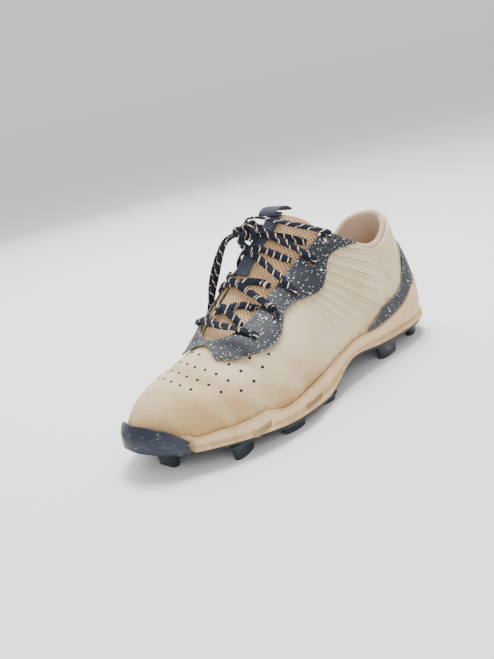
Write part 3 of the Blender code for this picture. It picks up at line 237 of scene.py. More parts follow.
def split_axes(tree, vector):
    """The three parts of a vector."""
    split = put(tree, "ShaderNodeSeparateXYZ")
    wire(tree, vector, split.inputs[0])
    return tuple(split.outputs)


def noise_value(tree, vector, scale, detail=3.0, roughness=0.55):
    """Noise at a number of features per metre."""
    added = put(tree, "ShaderNodeTexNoise")
    wire(tree, vector, added.inputs["Vector"])
    wire(tree, scale, added.inputs["Scale"])
    added.inputs["Detail"].default_value = detail
    added.inputs["Roughness"].default_value = roughness
    return added.outputs["Fac"]


def new_group(name, inputs, outputs):
    """An empty shader group with sockets given as (name, socket type, value)."""
    tree = bpy.data.node_groups.new(name, "ShaderNodeTree")
    for label, kind, value in inputs:
        socket = tree.interface.new_socket(label, in_out="INPUT", socket_type=kind)
        socket.default_value = value
    for label, kind in outputs:
        tree.interface.new_socket(label, in_out="OUTPUT", socket_type=kind)
    return tree, tree.nodes.new("NodeGroupInput"), tree.nodes.new("NodeGroupOutput")


def use_group(tree, group, **values):
    """Place a group in a material and set its inputs by name (spaces become _)."""
    added = put(tree, "ShaderNodeGroup", node_tree=group)
    for key, value in values.items():
        wire(tree, value, added.inputs[key.replace("_", " ")])
    return added


COLOUR = "NodeSocketColor"
VALUE = "NodeSocketFloat"


# %% Stains
def make_stains():
    """Clean colour, with dirt where two sizes of noise and an extra mask are high."""
    tree, given, result = new_group(
        "stains",
        [("Clean", COLOUR, (1, 1, 1, 1)), ("Dirt", COLOUR, (0.5, 0.4, 0.3, 1)),
         ("Patches", VALUE, 22.0), ("Amount", VALUE, 0.5), ("Extra", VALUE, 0.0)],
        [("Color", COLOUR), ("Mask", VALUE)])
    place = object_place(tree)
    large = noise_value(tree, place, given.outputs["Patches"], 5.0, 0.6)
    fine_scale = calculate(tree, "MULTIPLY", given.outputs["Patches"], 9.0)
    fine = noise_value(tree, place, fine_scale, 4.0, 0.7)
    patch = ramp_value(tree, large, 0.42, 0.72)
    speck = ramp_value(tree, fine, 0.45, 0.75)
    both = calculate(tree, "MULTIPLY_ADD", patch, 0.75, calculate(tree, "MULTIPLY", speck, 0.25))
    spread = calculate(tree, "MULTIPLY", both, given.outputs["Amount"])
    ragged = calculate(tree, "MULTIPLY_ADD", fine, 0.7, 0.65)
    extra = calculate(tree, "MULTIPLY", given.outputs["Extra"], ragged)
    mask = calculate(tree, "MINIMUM", calculate(tree, "ADD", spread, extra), 1.0)
    wire(tree, blend_colour(tree, mask, given.outputs["Clean"], given.outputs["Dirt"]),
         result.inputs["Color"])
    wire(tree, mask, result.inputs["Mask"])
    return tree


stains = make_stains()


# %% Grain
def make_grain():
    """Pebbled height: cell distance for the pebbles and noise for the pores."""
    tree, given, result = new_group("grain", [("Scale", VALUE, 700.0)], [("Height", VALUE)])
    place = object_place(tree)
    cells = put(tree, "ShaderNodeTexVoronoi", feature="F1")
    wire(tree, place, cells.inputs["Vector"])
    wire(tree, given.outputs["Scale"], cells.inputs["Scale"])
    pores = noise_value(tree, place, calculate(tree, "MULTIPLY", given.outputs["Scale"], 2.3))
    height = calculate(tree, "MULTIPLY_ADD", cells.outputs["Distance"], -0.6, pores)
    wire(tree, height, result.inputs["Height"])
    return tree


grain = make_grain()


# %% Paint flecks
def make_paint_flecks():
    """White dots of mixed size: cells whose distance is under a size that noise changes."""
    tree, given, result = new_group(
        "paint_flecks", [("Density", VALUE, 0.5), ("Extra", VALUE, 0.0)], [("Mask", VALUE)])
    place = object_place(tree)
    total = 0.0
    for scale, size in ((380.0, 0.28), (720.0, 0.32), (1200.0, 0.36)):
        cells = put(tree, "ShaderNodeTexVoronoi", feature="F1")
        wire(tree, place, cells.inputs["Vector"])
        cells.inputs["Scale"].default_value = scale
        chance = put(tree, "ShaderNodeSeparateColor")
        wire(tree, cells.outputs["Color"], chance.inputs["Color"])
        wanted = calculate(tree, "ADD", given.outputs["Density"], given.outputs["Extra"])
        kept = calculate(tree, "LESS_THAN", chance.outputs["Red"], wanted)
        radius = calculate(tree, "MULTIPLY", chance.outputs["Green"], size)
        dot = ramp_value(tree, cells.outputs["Distance"], radius,
                         calculate(tree, "ADD", radius, 0.08), 1.0, 0.0)
        total = calculate(tree, "MAXIMUM", calculate(tree, "MULTIPLY", dot, kept), total)
    wire(tree, total, result.inputs["Mask"])
    return tree


paint_flecks = make_paint_flecks()


# %% Woven lace
LACE_BRAID = 0.0021
LACE_FLECK_STEP = 0.0078
LACE_FLECK_RUN = 0.014


def make_lace_weave():
    """Diagonal ribs from the braid, and cream dashes where two diagonals meet."""
    tree, given, result = new_group(
        "lace_weave", [("Along", VALUE, 0.0), ("Around", VALUE, 0.0)],
        [("Height", VALUE), ("Fleck", VALUE)])
    along = given.outputs["Along"]
    around = given.outputs["Around"]
    steps = calculate(tree, "DIVIDE", along, LACE_BRAID)
    one = calculate(tree, "ADD", steps, calculate(tree, "MULTIPLY", around, 4.0))
    other = calculate(tree, "SUBTRACT", steps, calculate(tree, "MULTIPLY", around, 4.0))
    ribs = [calculate(tree, "SINE", calculate(tree, "MULTIPLY", value, 2 * math.pi))
            for value in (one, other)]
    wire(tree, calculate(tree, "MULTIPLY", ribs[0], ribs[1]), result.inputs["Height"])
    pairs = calculate(tree, "ADD", calculate(tree, "DIVIDE", along, LACE_FLECK_STEP),
                      calculate(tree, "MULTIPLY", around, 2.0))
    band = calculate(tree, "LESS_THAN", calculate(tree, "FRACT", pairs), 0.24)
    dash = calculate(tree, "LESS_THAN", calculate(tree, "FRACT", one), 0.50)
    wire(tree, calculate(tree, "MULTIPLY", band, dash), result.inputs["Fleck"])
    return tree


lace_weave = make_lace_weave()

# %% [markdown]
# ## Materials
#
# Each material starts from one Principled shader.  Its colour comes from the groups above,
# its bump from grain or weave, and values that stay the same all over, such as sheen, are
# set on the shader itself.


# %% Start a material
def start_material(name, roughness, **sockets):
    """A material, its tree and its shader, with plain values set on the shader."""
    material = bpy.data.materials.new(name)
    material.use_nodes = True
    tree = material.node_tree
    shader = tree.nodes["Principled BSDF"]
    shader.inputs["Roughness"].default_value = roughness
    for key, value in sockets.items():
        shader.inputs[key.replace("_", " ")].default_value = value
    return material, tree, shader


def set_bump(tree, shader, height, distance, strength=1.0):
    """Feed a height in 0...1 to the shader's normal, scaled to a distance in metres."""
    bump = put(tree, "ShaderNodeBump")
    bump.inputs["Strength"].default_value = strength
    bump.inputs["Distance"].default_value = distance
    wire(tree, height, bump.inputs["Height"])
    wire(tree, bump.outputs["Normal"], shader.inputs["Normal"])
    return bump


def attribute_value(tree, name):
    """A value stored on the mesh's vertices."""
    return put(tree, "ShaderNodeAttribute", attribute_name=name).outputs["Fac"]


# %% Ivory synthetic leather
HEEL_STAIN = (0.0300, 0.0902, 0.0594)
STAIN_RADIUS = 0.0075
STAIN_CORE = 0.001
PLEAT_CENTRE_Y = -0.057
PLEAT_CENTRE_Z = 0.141
PLEAT_STEP = 0.063
PLEAT_FIRST = 0.35
PLEAT_PAIR = 0.30
PLEAT_HALF_WIDTH = 0.055
PLEAT_FRONT = (-0.004, 0.010)
PLEAT_REAR = (0.086, 0.066)
PLEAT_FOOT = (0.036, 0.052)


def make_ivory():
    """Ivory leather, tan near the sole, brown at overlay edges; painted shade in pleats and
    inside.
    """
    material, tree, shader = start_material("ivory_leather", 0.46, Specular_IOR_Level=0.42)
    place = object_place(tree)
    _, y, z = split_axes(tree, place)
    low = attribute_value(tree, "near_sole")
    edge = attribute_value(tree, "near_overlay")
    fold = attribute_value(tree, "fold")
    toe = ramp_value(tree, y, -0.055, -0.135, 0.0, 0.30)
    extra = calculate(tree, "ADD", calculate(tree, "MULTIPLY", low, 0.75), toe)
    extra = calculate(tree, "ADD", extra, calculate(tree, "MULTIPLY", fold, 0.55))
    tan = use_group(tree, stains, Clean=(0.71, 0.60, 0.375, 1), Dirt=(0.50, 0.31, 0.12, 1),
                    Patches=24.0, Amount=0.50, Extra=extra)
    brown = calculate(tree, "MULTIPLY", edge, ramp_value(tree, noise_value(tree, place, 90.0),
                                                         0.30, 0.62, 0.15, 0.85))
    colour = blend_colour(tree, brown, tan.outputs["Color"], (0.22, 0.11, 0.05, 1))
    from_stain = put(tree, "ShaderNodeVectorMath", operation="DISTANCE")
    wire(tree, place, from_stain.inputs[0])
    from_stain.inputs[1].default_value = HEEL_STAIN
    near_stain = ramp_value(tree, from_stain.outputs["Value"], STAIN_RADIUS, STAIN_CORE)
    ragged = ramp_value(tree, noise_value(tree, place, 420.0), 0.44, 0.62, 0.0, 0.75)
    blot = calculate(tree, "MULTIPLY", near_stain, ragged)
    colour = blend_colour(tree, blot, colour, (0.30, 0.15, 0.07, 1))
    angle = calculate(tree, "ARCTAN2", calculate(tree, "SUBTRACT", PLEAT_CENTRE_Z, z),
                      calculate(tree, "SUBTRACT", y, PLEAT_CENTRE_Y))
    lines = calculate(tree, "DIVIDE", angle, PLEAT_STEP)
    turn = calculate(tree, "FRACT", lines)
    pair = [calculate(tree, "COMPARE", turn, middle, PLEAT_HALF_WIDTH)
            for middle in (PLEAT_FIRST, PLEAT_FIRST + PLEAT_PAIR)]
    crease = calculate(tree, "ADD", pair[0], calculate(tree, "MULTIPLY", pair[1], 0.65))
    region = calculate(tree, "MULTIPLY", ramp_value(tree, y, *PLEAT_FRONT),
                       ramp_value(tree, y, *PLEAT_REAR))
    region = calculate(tree, "MULTIPLY", region, ramp_value(tree, z, *PLEAT_FOOT))
    inside = attribute_value(tree, "inner_face")
    region = calculate(tree, "MULTIPLY", region, calculate(tree, "SUBTRACT", 1.0, inside))
    crease = calculate(tree, "MULTIPLY", crease, region)
    # Painted shade: the pleat lines are darkened in colour, as if shade lay in the creases.
    shade = calculate(tree, "MULTIPLY", crease, 0.66)
    # The inner face takes the lining's tone made darker: lining colour with painted shade inside
    # the shoe.
    colour = blend_colour(tree, inside, colour, (0.56, 0.40, 0.28, 1))
    wire(tree, blend_colour(tree, shade, colour, (0.27, 0.20, 0.12, 1)),
         shader.inputs["Base Color"])
    wire(tree, calculate(tree, "MULTIPLY_ADD", tan.outputs["Mask"], 0.22, 0.42),
         shader.inputs["Roughness"])
    pebbles = use_group(tree, grain, Scale=900.0).outputs["Height"]
    soft = noise_value(tree, place, 60.0, 2.0)
    height = calculate(tree, "MULTIPLY_ADD", soft, 2.5, calculate(tree, "MULTIPLY", pebbles, 0.5))
    height = calculate(tree, "SUBTRACT", height, calculate(tree, "MULTIPLY", crease, 1.3))
    set_bump(tree, shader, height, 0.00045, 0.8)
    return material


ivory = make_ivory()


# %% Speckled overlay
def make_speckled(name, density):
    """Charcoal film with white paint dots, a worn brown-grey rim and light dust."""
    material, tree, shader = start_material(name, 0.52, Specular_IOR_Level=0.32)
    place = object_place(tree)
    border = attribute_value(tree, "border")
    near = ramp_value(tree, border, 0.009, 0.001, 0.0, 0.14)
    dots = use_group(tree, paint_flecks, Density=density, Extra=near).outputs["Mask"]
    dust = use_group(tree, stains, Clean=(0.020, 0.025, 0.032, 1), Dirt=(0.036, 0.039, 0.042, 1),
                     Patches=60.0, Amount=0.7, Extra=0.0)
    rim = ramp_value(tree, border, 0.0009, 0.0003, 0.0, 0.55)
    colour = blend_colour(tree, rim, dust.outputs["Color"], (0.20, 0.17, 0.14, 1))
    wire(tree, blend_colour(tree, dots, colour, (0.86, 0.87, 0.88, 1)),
         shader.inputs["Base Color"])
    weave = put(tree, "ShaderNodeTexVoronoi", feature="F1")
    wire(tree, place, weave.inputs["Vector"])
    weave.inputs["Scale"].default_value = 1300.0
    height = calculate(tree, "MULTIPLY_ADD", dots, 0.6, weave.outputs["Distance"])
    set_bump(tree, shader, height, 0.0002, 0.8)
    return material


eyestay_film = make_speckled("speckled_film", 0.13)
counter_film = make_speckled("speckled_counter", 0.06)


# %% Bumper and plate rubber
def make_rubber(name, clean, worn, roughness, scuffs):
    """Dark rubber; scuffs are thin streaks of noise stretched along the shoe."""
    material, tree, shader = start_material(name, roughness, Specular_IOR_Level=0.35)
    place = object_place(tree)
    stretch = put(tree, "ShaderNodeMapping")
    stretch.inputs["Scale"].default_value = (1.0, 0.35, 2.8)
    stretch.inputs["Rotation"].default_value = (0.5, 0.2, 0.6)
    wire(tree, place, stretch.inputs["Vector"])
    streaks = ramp_value(tree, noise_value(tree, stretch.outputs[0], 150.0, 5.0, 0.7), 0.56, 0.70)
    patches = ramp_value(tree, noise_value(tree, place, 45.0, 3.0), 0.40, 0.66)
    worn_share = calculate(tree, "MULTIPLY", calculate(tree, "MULTIPLY", streaks, patches), scuffs)
    base = use_group(tree, stains, Clean=clean, Dirt=worn, Patches=40.0, Amount=0.75, Extra=0.0)
    wire(tree, blend_colour(tree, worn_share, base.outputs["Color"], (0.46, 0.45, 0.44, 1)),
         shader.inputs["Base Color"])
    wire(tree, calculate(tree, "MULTIPLY_ADD", worn_share, 0.3, roughness),
         shader.inputs["Roughness"])
    height = calculate(tree, "MULTIPLY_ADD", use_group(tree, grain, Scale=500.0).outputs[0], 0.5,
                       calculate(tree, "MULTIPLY", worn_share, -0.6))
    set_bump(tree, shader, height, 0.0003, 0.7)
    return material


bumper_rubber = make_rubber("bumper_rubber", (0.017, 0.022, 0.038, 1), (0.045, 0.055, 0.085, 1),
                            0.42, 0.6)
plate_rubber = make_rubber("plate_rubber", (0.011, 0.017, 0.022, 1), (0.036, 0.045, 0.052, 1),
                           0.48, 0.35)


# %% Moulded sidewall foam
def make_foam(name, clean, dirt):
    """Cream foam gone tan, browner along its upper edge."""
    material, tree, shader = start_material(name, 0.55, Specular_IOR_Level=0.4)
    place = object_place(tree)
    border = attribute_value(tree, "border")
    seam = ramp_value(tree, border, 0.0026, 0.0002, 0.0, 0.7)
    colour = use_group(tree, stains, Clean=clean, Dirt=dirt,
                       Patches=38.0, Amount=0.5, Extra=seam)
    wire(tree, colour.outputs["Color"], shader.inputs["Base Color"])
    soft = noise_value(tree, place, 140.0, 3.0)
    pebbles = use_group(tree, grain, Scale=800.0).outputs["Height"]
    set_bump(tree, shader, calculate(tree, "MULTIPLY_ADD", soft, 1.6, pebbles), 0.0003, 0.7)
    return material


foam = make_foam("sidewall_foam", (0.74, 0.53, 0.30, 1), (0.46, 0.27, 0.11, 1))
window_foam = make_foam("window_foam", (0.60, 0.47, 0.24, 1), (0.34, 0.22, 0.09, 1))


# %% Tongue mesh
HOLE_STEP = 0.0021


def make_mesh_cloth():
    """Tan spacer mesh: holes of painted shade on a skewed grid along the tongue's slope."""
    material, tree, shader = start_material("spacer_mesh", 0.85, Sheen_Weight=0.25,
                                            Specular_IOR_Level=0.25)
    x, y, z = split_axes(tree, object_place(tree))
    slope = calculate(tree, "MULTIPLY_ADD", z, 0.72, calculate(tree, "MULTIPLY", y, 0.69))
    row = calculate(tree, "DIVIDE", slope, HOLE_STEP * 0.8)
    column = calculate(tree, "ADD", calculate(tree, "DIVIDE", x, HOLE_STEP),
                       calculate(tree, "MULTIPLY", row, 0.5))
    from_row = calculate(tree, "SUBTRACT", calculate(tree, "FRACT", row), 0.5)
    from_column = calculate(tree, "SUBTRACT", calculate(tree, "FRACT", column), 0.5)
    away = calculate(tree, "SQRT", calculate(
        tree, "ADD", calculate(tree, "MULTIPLY", from_row, from_row),
        calculate(tree, "MULTIPLY", from_column, from_column)))
    hole = ramp_value(tree, away, 0.20, 0.34, 1.0, 0.0)
    base = use_group(tree, stains, Clean=(0.70, 0.44, 0.23, 1), Dirt=(0.48, 0.27, 0.12, 1),
                     Patches=70.0, Amount=0.6, Extra=0.0)
    # Painted shade: the holes are darkened in colour, standing for the shade inside them.
    wire(tree, blend_colour(tree, calculate(tree, "MULTIPLY", hole, 0.80),
                            base.outputs["Color"], (0.13, 0.07, 0.04, 1)),
         shader.inputs["Base Color"])
    set_bump(tree, shader, calculate(tree, "SUBTRACT", 1.0, hole), 0.0006, 0.8)
    return material


mesh_cloth = make_mesh_cloth()


# %% Collar knit and insole cloth
def make_knit(name, clean, dirt, step):
    """Fine knit: two crossed waves make small loops in rows, with painted shade between them."""
    material, tree, shader = start_material(name, 0.85, Sheen_Weight=0.35,
                                            Specular_IOR_Level=0.25)
    x, y, z = split_axes(tree, object_place(tree))
    up = calculate(tree, "SINE", calculate(tree, "MULTIPLY", z, 2 * math.pi / step))
    run = calculate(tree, "ADD", calculate(tree, "MULTIPLY", x, 0.8), y)
    side = calculate(tree, "SINE", calculate(tree, "MULTIPLY", run, 2 * math.pi / step))
    loops = calculate(tree, "MULTIPLY", up, side)
    base = use_group(tree, stains, Clean=clean, Dirt=dirt, Patches=50.0, Amount=0.55, Extra=0.0)
    # Painted shade: the low parts between the loops are darkened in colour.
    shade = ramp_value(tree, loops, -0.1, -0.8, 0.0, 0.35)
    wire(tree, blend_colour(tree, shade, base.outputs["Color"], (0.26, 0.15, 0.09, 1)),
         shader.inputs["Base Color"])
    set_bump(tree, shader, loops, 0.0003, 0.8)
    return material


collar_knit = make_knit("collar_knit", (0.70, 0.50, 0.35, 1), (0.50, 0.31, 0.18, 1), 0.0021)
insole_cloth = make_knit("insole_cloth", (0.46, 0.36, 0.27, 1), (0.28, 0.20, 0.14, 1), 0.0015)


# %% Lace and webbing
def make_lace(name, from_uv):
    """Navy black braid with cream dashes, by UV on ribbons or by stored values on strands."""
    material, tree, shader = start_material(name, 0.80, Sheen_Weight=0.04,
                                            Specular_IOR_Level=0.15)
    if from_uv:
        uv_place = put(tree, "ShaderNodeUVMap", uv_map="along").outputs["UV"]
        along, around, _ = split_axes(tree, uv_place)
    else:
        along = attribute_value(tree, "strand_along")
        around = attribute_value(tree, "strand_across")
    weave = use_group(tree, lace_weave, Along=along, Around=around)
    base = use_group(tree, stains, Clean=(0.007, 0.010, 0.022, 1), Dirt=(0.026, 0.030, 0.045, 1),
                     Patches=120.0, Amount=0.8, Extra=0.0)
    wire(tree, blend_colour(tree, weave.outputs["Fleck"], base.outputs["Color"],
                            (0.74, 0.60, 0.43, 1)), shader.inputs["Base Color"])
    set_bump(tree, shader, weave.outputs["Height"], 0.00035, 0.9)
    return material


strand_lace = make_lace("woven_lace_strand", False)
ribbon_lace = make_lace("woven_lace_ribbon", True)
RIB_STEP = 0.0016
THREAD_STEP = 0.0011


def make_webbing_cloth():
    """Slate ribbon: fine ribs across it from a wave in the ribbon's own slope."""
    material, tree, shader = start_material("webbing_cloth", 0.75, Sheen_Weight=0.06,
                                            Specular_IOR_Level=0.25)
    x, y, z = split_axes(tree, object_place(tree))
    slope = calculate(tree, "ADD", z, y)
    rib = calculate(tree, "SINE", calculate(tree, "MULTIPLY", slope, 2 * math.pi / RIB_STEP))
    thread = calculate(tree, "SINE", calculate(tree, "MULTIPLY", x, 2 * math.pi / THREAD_STEP))
    base = use_group(tree, stains, Clean=(0.032, 0.042, 0.070, 1), Dirt=(0.085, 0.092, 0.11, 1),
                     Patches=90.0, Amount=0.55, Extra=0.0)
    wire(tree, base.outputs["Color"], shader.inputs["Base Color"])
    set_bump(tree, shader, calculate(tree, "MULTIPLY_ADD", rib, 0.6, thread), 0.0002, 0.7)
    return material


webbing_cloth = make_webbing_cloth()


# %% Tips and holes
def make_stained(name, roughness, clean, dirt, patches, amount, **sockets):
    """A plain finish whose colour is only stained."""
    material, tree, shader = start_material(name, roughness, **sockets)
    colour = use_group(tree, stains, Clean=clean, Dirt=dirt, Patches=patches, Amount=amount)
    wire(tree, colour.outputs["Color"], shader.inputs["Base Color"])
    return material


aglet_plastic = make_stained("aglet_plastic", 0.25, (0.03, 0.035, 0.05, 1),
                             (0.12, 0.12, 0.13, 1), 150.0, 0.6, Specular_IOR_Level=0.6)
# Painted shade: the holes are not cut, so this dark finish stands for the shade inside a hole or
# an eyelet's bore.
painted_hole_shade = make_stained("punched_hole_shade", 0.9, (0.020, 0.009, 0.005, 1),
                         (0.050, 0.025, 0.014, 1), 200.0, 0.7)
print("materials:", len(bpy.data.materials))

# %% [markdown]
# ## Free lace ends
#
# Two ends leave the knot, lie over the inner side and hang down beside it, each with a
# plastic tip.  Their lines repeat the points that the solid model uses, after one more
# point inside the knot.  A free lace is flat, so the ribbon is a little narrower than the
# solid lace, and less than half as thick as it is wide.

# %% Make the free ends
LACE_WIDTH = 0.0058
LACE_THICKNESS = 0.0022
ACROSS_HINT = (0.15, 1.0, 0.1)
TAPER_START = 0.93
TAPER_NARROWER = 0.38
TAPER_THICKER = 0.25
AGLET_LENGTH = 0.016
AGLET_WIDTH = 0.0036
AGLET_THICKNESS = 0.0028
AGLET_OVERLAP = 0.0008
AGLET_TAPER = np.array([0.9, 1, 1, 1, 1, 1, 1, 1, 0.98, 0.95, 0.88, 0.6])
KNOT_CENTRE = (-0.0145, -0.0080, 0.1229)
END_OUTER = [
    (-0.0234, -0.0086, 0.1226), (-0.0292, -0.0112, 0.1192), (-0.0342, -0.0145, 0.1115),
    (-0.0385, -0.0180, 0.1020), (-0.0420, -0.0220, 0.0900), (-0.0440, -0.0245, 0.0770),
    (-0.0450, -0.0255, 0.0640), (-0.0455, -0.0255, 0.0510), (-0.0455, -0.0250, 0.0390),
]
END_INNER = [
    (-0.0190, -0.0140, 0.1217), (-0.0238, -0.0180, 0.1178), (-0.0278, -0.0212, 0.1090),
    (-0.0310, -0.0245, 0.0985), (-0.0340, -0.0290, 0.0870), (-0.0365, -0.0330, 0.0750),
    (-0.0385, -0.0360, 0.0630), (-0.0403, -0.0380, 0.0510), (-0.0418, -0.0390, 0.0390),
]
knot_low, knot_high = (np.array(corner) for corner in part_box("lace_knot"))
SHIFT = (knot_low + knot_high) / 2 - np.array(KNOT_CENTRE)


def make_free_end(side, points):
    """A ribbon along the smooth line, with its width across the shoe's length."""
    start = np.array(KNOT_CENTRE) * 0.75 + np.array(points[0]) * 0.25
    line = smooth_line(np.vstack([start, points]) + SHIFT, 60)
    lengths = line_lengths(line)
    share = lengths / lengths[-1]
    taper = np.clip((share - TAPER_START) / (1 - TAPER_START), 0, 1)
    rings = ribbon_rings(line, LACE_WIDTH * (1 - TAPER_NARROWER * taper),
                         LACE_THICKNESS * (1 + TAPER_THICKER * taper), ACROSS_HINT)
    ribbon = rings_to_object(f"free_end_{side}", rings, lengths, ribbon_lace)
    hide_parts(f"lace_end_{side}")
    run = unit(line[-1] - line[-2])
    reach = np.linspace(-AGLET_OVERLAP, AGLET_LENGTH, len(AGLET_TAPER))
    tip_line = line[-1] + run * reach[:, None]
    tip_rings = ribbon_rings(tip_line, AGLET_WIDTH * AGLET_TAPER,
                             AGLET_THICKNESS * AGLET_TAPER, ACROSS_HINT)
    tip = rings_to_object(f"tip_{side}", tip_rings, line_lengths(tip_line), aglet_plastic)
    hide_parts(f"aglet_{side}")
    print(side, "end:", round(float(lengths[-1]) * 1000), "mm and its tip")


make_free_end("outer", END_OUTER)
make_free_end("inner", END_INNER)

# %% [markdown]
# ## Smooth skins over the solids
#
# The solids are coarse, so each visible one gets a skin: a copy of its mesh, with the loose
# triangles welded and joined back to quads, and then subdivided.  Sharp edges are creased
# first, so that rims, bores and steps stay where they are while broad faces turn smooth.
# Each vertex keeps its distance to the nearest sharp edge, because dirt gathers there.

# %% Weld and subdivide a solid
WELD_REACH = 0.00002
JOIN_FACE_ANGLE = math.radians(30)
JOIN_SHAPE_ANGLE = math.radians(60)
SHADE_ANGLE = math.radians(40)
RIM_SHARES = (0.0, 0.25, 0.5, 0.75)


def distance_to(points, targets, batch=1500):
    """Each point's distance to the nearest target, in batches to save memory."""
    parts = []
    for start in range(0, len(points), batch):
        part = points[start:start + batch, None, :] - targets[None, :, :]
        parts.append(np.sqrt(np.min(np.sum(part ** 2, axis=2), axis=1)))
    return np.concatenate(parts)


def vertex_places(mesh):
    """The place of each vertex, as an array (count, 3)."""
    places = np.empty(len(mesh.vertices) * 3)
    mesh.vertices.foreach_get("co", places)
    return places.reshape(-1, 3)


def vertex_normals(mesh):
    """The normal at each vertex, as an array (count, 3)."""
    normals = np.empty(len(mesh.vertices) * 3)
    mesh.vertex_normals.foreach_get("vector", normals)
    return normals.reshape(-1, 3)


def store_value(mesh, name, values):
    """Keep one number a vertex, for the materials."""
    mesh.attributes.new(name, "FLOAT", "POINT").data.foreach_set("value", values)


def skin_of(node, levels, sharp_degrees=32.0, keep_sharp=1.0):
    """Weld the solid's triangles, crease its sharp edges, subdivide, and note its edges."""
    work = bmesh.new()
    work.from_mesh(nodes[node].data)
    bmesh.ops.remove_doubles(work, verts=work.verts, dist=WELD_REACH)
    bmesh.ops.join_triangles(work, faces=work.faces, angle_face_threshold=JOIN_FACE_ANGLE,
                             angle_shape_threshold=JOIN_SHAPE_ANGLE)
    creases = work.edges.layers.float.new("crease_edge")
    limit = math.radians(sharp_degrees)
    rims = []
    for edge in work.edges:
        if len(edge.link_faces) == 2 and edge.calc_face_angle() > limit:
            edge[creases] = keep_sharp
            low, high = edge.verts[0].co, edge.verts[1].co
            rims += [tuple(low.lerp(high, share)) for share in RIM_SHARES]
    base = bpy.data.meshes.new(node + "_base")
    work.to_mesh(base)
    work.free()
    shape = bpy.data.objects.new(node + "_skin", base)
    bpy.context.scene.collection.objects.link(shape)
    smooth = shape.modifiers.new("smooth", "SUBSURF")
    smooth.levels = levels
    smooth.render_levels = levels
    graph = bpy.context.evaluated_depsgraph_get()
    mesh = bpy.data.meshes.new_from_object(shape.evaluated_get(graph))
    shape.modifiers.clear()
    shape.data = mesh
    mesh.name = node + "_skin"
    mesh.materials.clear()
    mesh.shade_smooth()
    if rims:
        store_value(mesh, "border", distance_to(vertex_places(mesh), np.array(rims)))
    mesh.set_sharp_from_angle(angle=SHADE_ANGLE)
    return shape


def dress(shape, node, material):
    """Give a skin its material and let it stand for its solid."""
    shape.data.materials.append(material)
    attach(shape, "root")
    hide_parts(node)
    print(shape.name, len(shape.data.polygons), "faces")
    return shape


def add_piece(name, points, faces, material, smooth=True):
    """A small mesh of its own that rides with the shoe."""
    mesh = bpy.data.meshes.new(name)
    mesh.from_pydata(points, [], faces)
    if smooth:
        mesh.shade_smooth()
    mesh.materials.append(material)
    piece = bpy.data.objects.new(name, mesh)
    bpy.context.scene.collection.objects.link(piece)
    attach(piece, "root")


# %% [markdown]
# ## Upper
#
# The upper is soft synthetic leather that has bent many times: shallow folds cross the toe
# box where the foot flexes.  A fold is a smooth dent along a slanted line, so the skin's
# vertices move inwards by a sum of such dents.  The dirt that folds collect uses the same
# numbers.

# %% Fold and dress the upper
Fold = namedtuple("Fold", "x y angle length width depth")
FOLDS = [
    Fold(0.018, -0.094, 8.0, 0.060, 0.0045, 0.0007),
    Fold(0.030, -0.107, 24.0, 0.050, 0.0040, 0.0006),
    Fold(0.040, -0.088, 40.0, 0.045, 0.0038, 0.0007),
    Fold(0.044, -0.064, 62.0, 0.040, 0.0036, 0.0006),
    Fold(-0.020, -0.090, -12.0, 0.050, 0.0042, 0.0006),
    Fold(-0.036, -0.066, -40.0, 0.040, 0.0038, 0.0006),
    Fold(0.044, -0.030, 80.0, 0.040, 0.0045, 0.0008),
    Fold(-0.002, -0.118, 3.0, 0.050, 0.0050, 0.0005),
]
FOLD_SWAY = 0.0018
FOLD_SWAY_RATE = 160.0
FOLD_SWAY_SHIFT = 900.0
FOLD_FULL_DIRT = 0.0009
SOLE_DIRT_REACH = 0.0055
OVERLAY_DIRT_REACH = 0.0024
INNER_FACE_TURN = -0.15


def fold_depths(places):
    """Sum of depth * exp(-(off / width)^2) * exp(-(along / half length)^2) over the folds."""
    total = np.zeros(len(places))
    for fold in FOLDS:
        angle = math.radians(fold.angle)
        dx = places[:, 0] - fold.x
        dy = places[:, 1] - fold.y
        along = dx * math.cos(angle) + dy * math.sin(angle)
        off = dy * math.cos(angle) - dx * math.sin(angle)
        wavy = off + FOLD_SWAY * np.sin(along * FOLD_SWAY_RATE + fold.x * FOLD_SWAY_SHIFT)
        total += fold.depth * np.exp(-(wavy / fold.width) ** 2
                                     - (along / (fold.length / 2)) ** 2)
    return total


def move_inwards(mesh, depths):
    """Shift each vertex against its normal by its own depth."""
    places = vertex_places(mesh) - vertex_normals(mesh) * depths[:, None]
    mesh.vertices.foreach_set("co", places.reshape(-1))
    mesh.update()


upper = skin_of("upper", 2)
upper_places = vertex_places(upper.data)
sole_edge = np.concatenate([vertex_places(nodes[name].data)
                            for name in ("midsole", "toe_bumper")])
overlay_edge = np.concatenate([vertex_places(nodes[name].data)
                               for name in ("eyestay", "heel_counter")])
store_value(upper.data, "near_sole",
            np.exp(-distance_to(upper_places, sole_edge) / SOLE_DIRT_REACH))
store_value(upper.data, "near_overlay",
            np.exp(-distance_to(upper_places, overlay_edge) / OVERLAY_DIRT_REACH))
dents = fold_depths(upper_places)
store_value(upper.data, "fold", np.clip(dents / FOLD_FULL_DIRT, 0, 1))
outwards = vertex_normals(upper.data)[:, 0] * np.sign(upper_places[:, 0])
inward = (outwards < INNER_FACE_TURN) & (upper_places[:, 1] > 0.0)
store_value(upper.data, "inner_face", inward.astype(float))
move_inwards(upper.data, dents)
dress(upper, "upper", ivory)
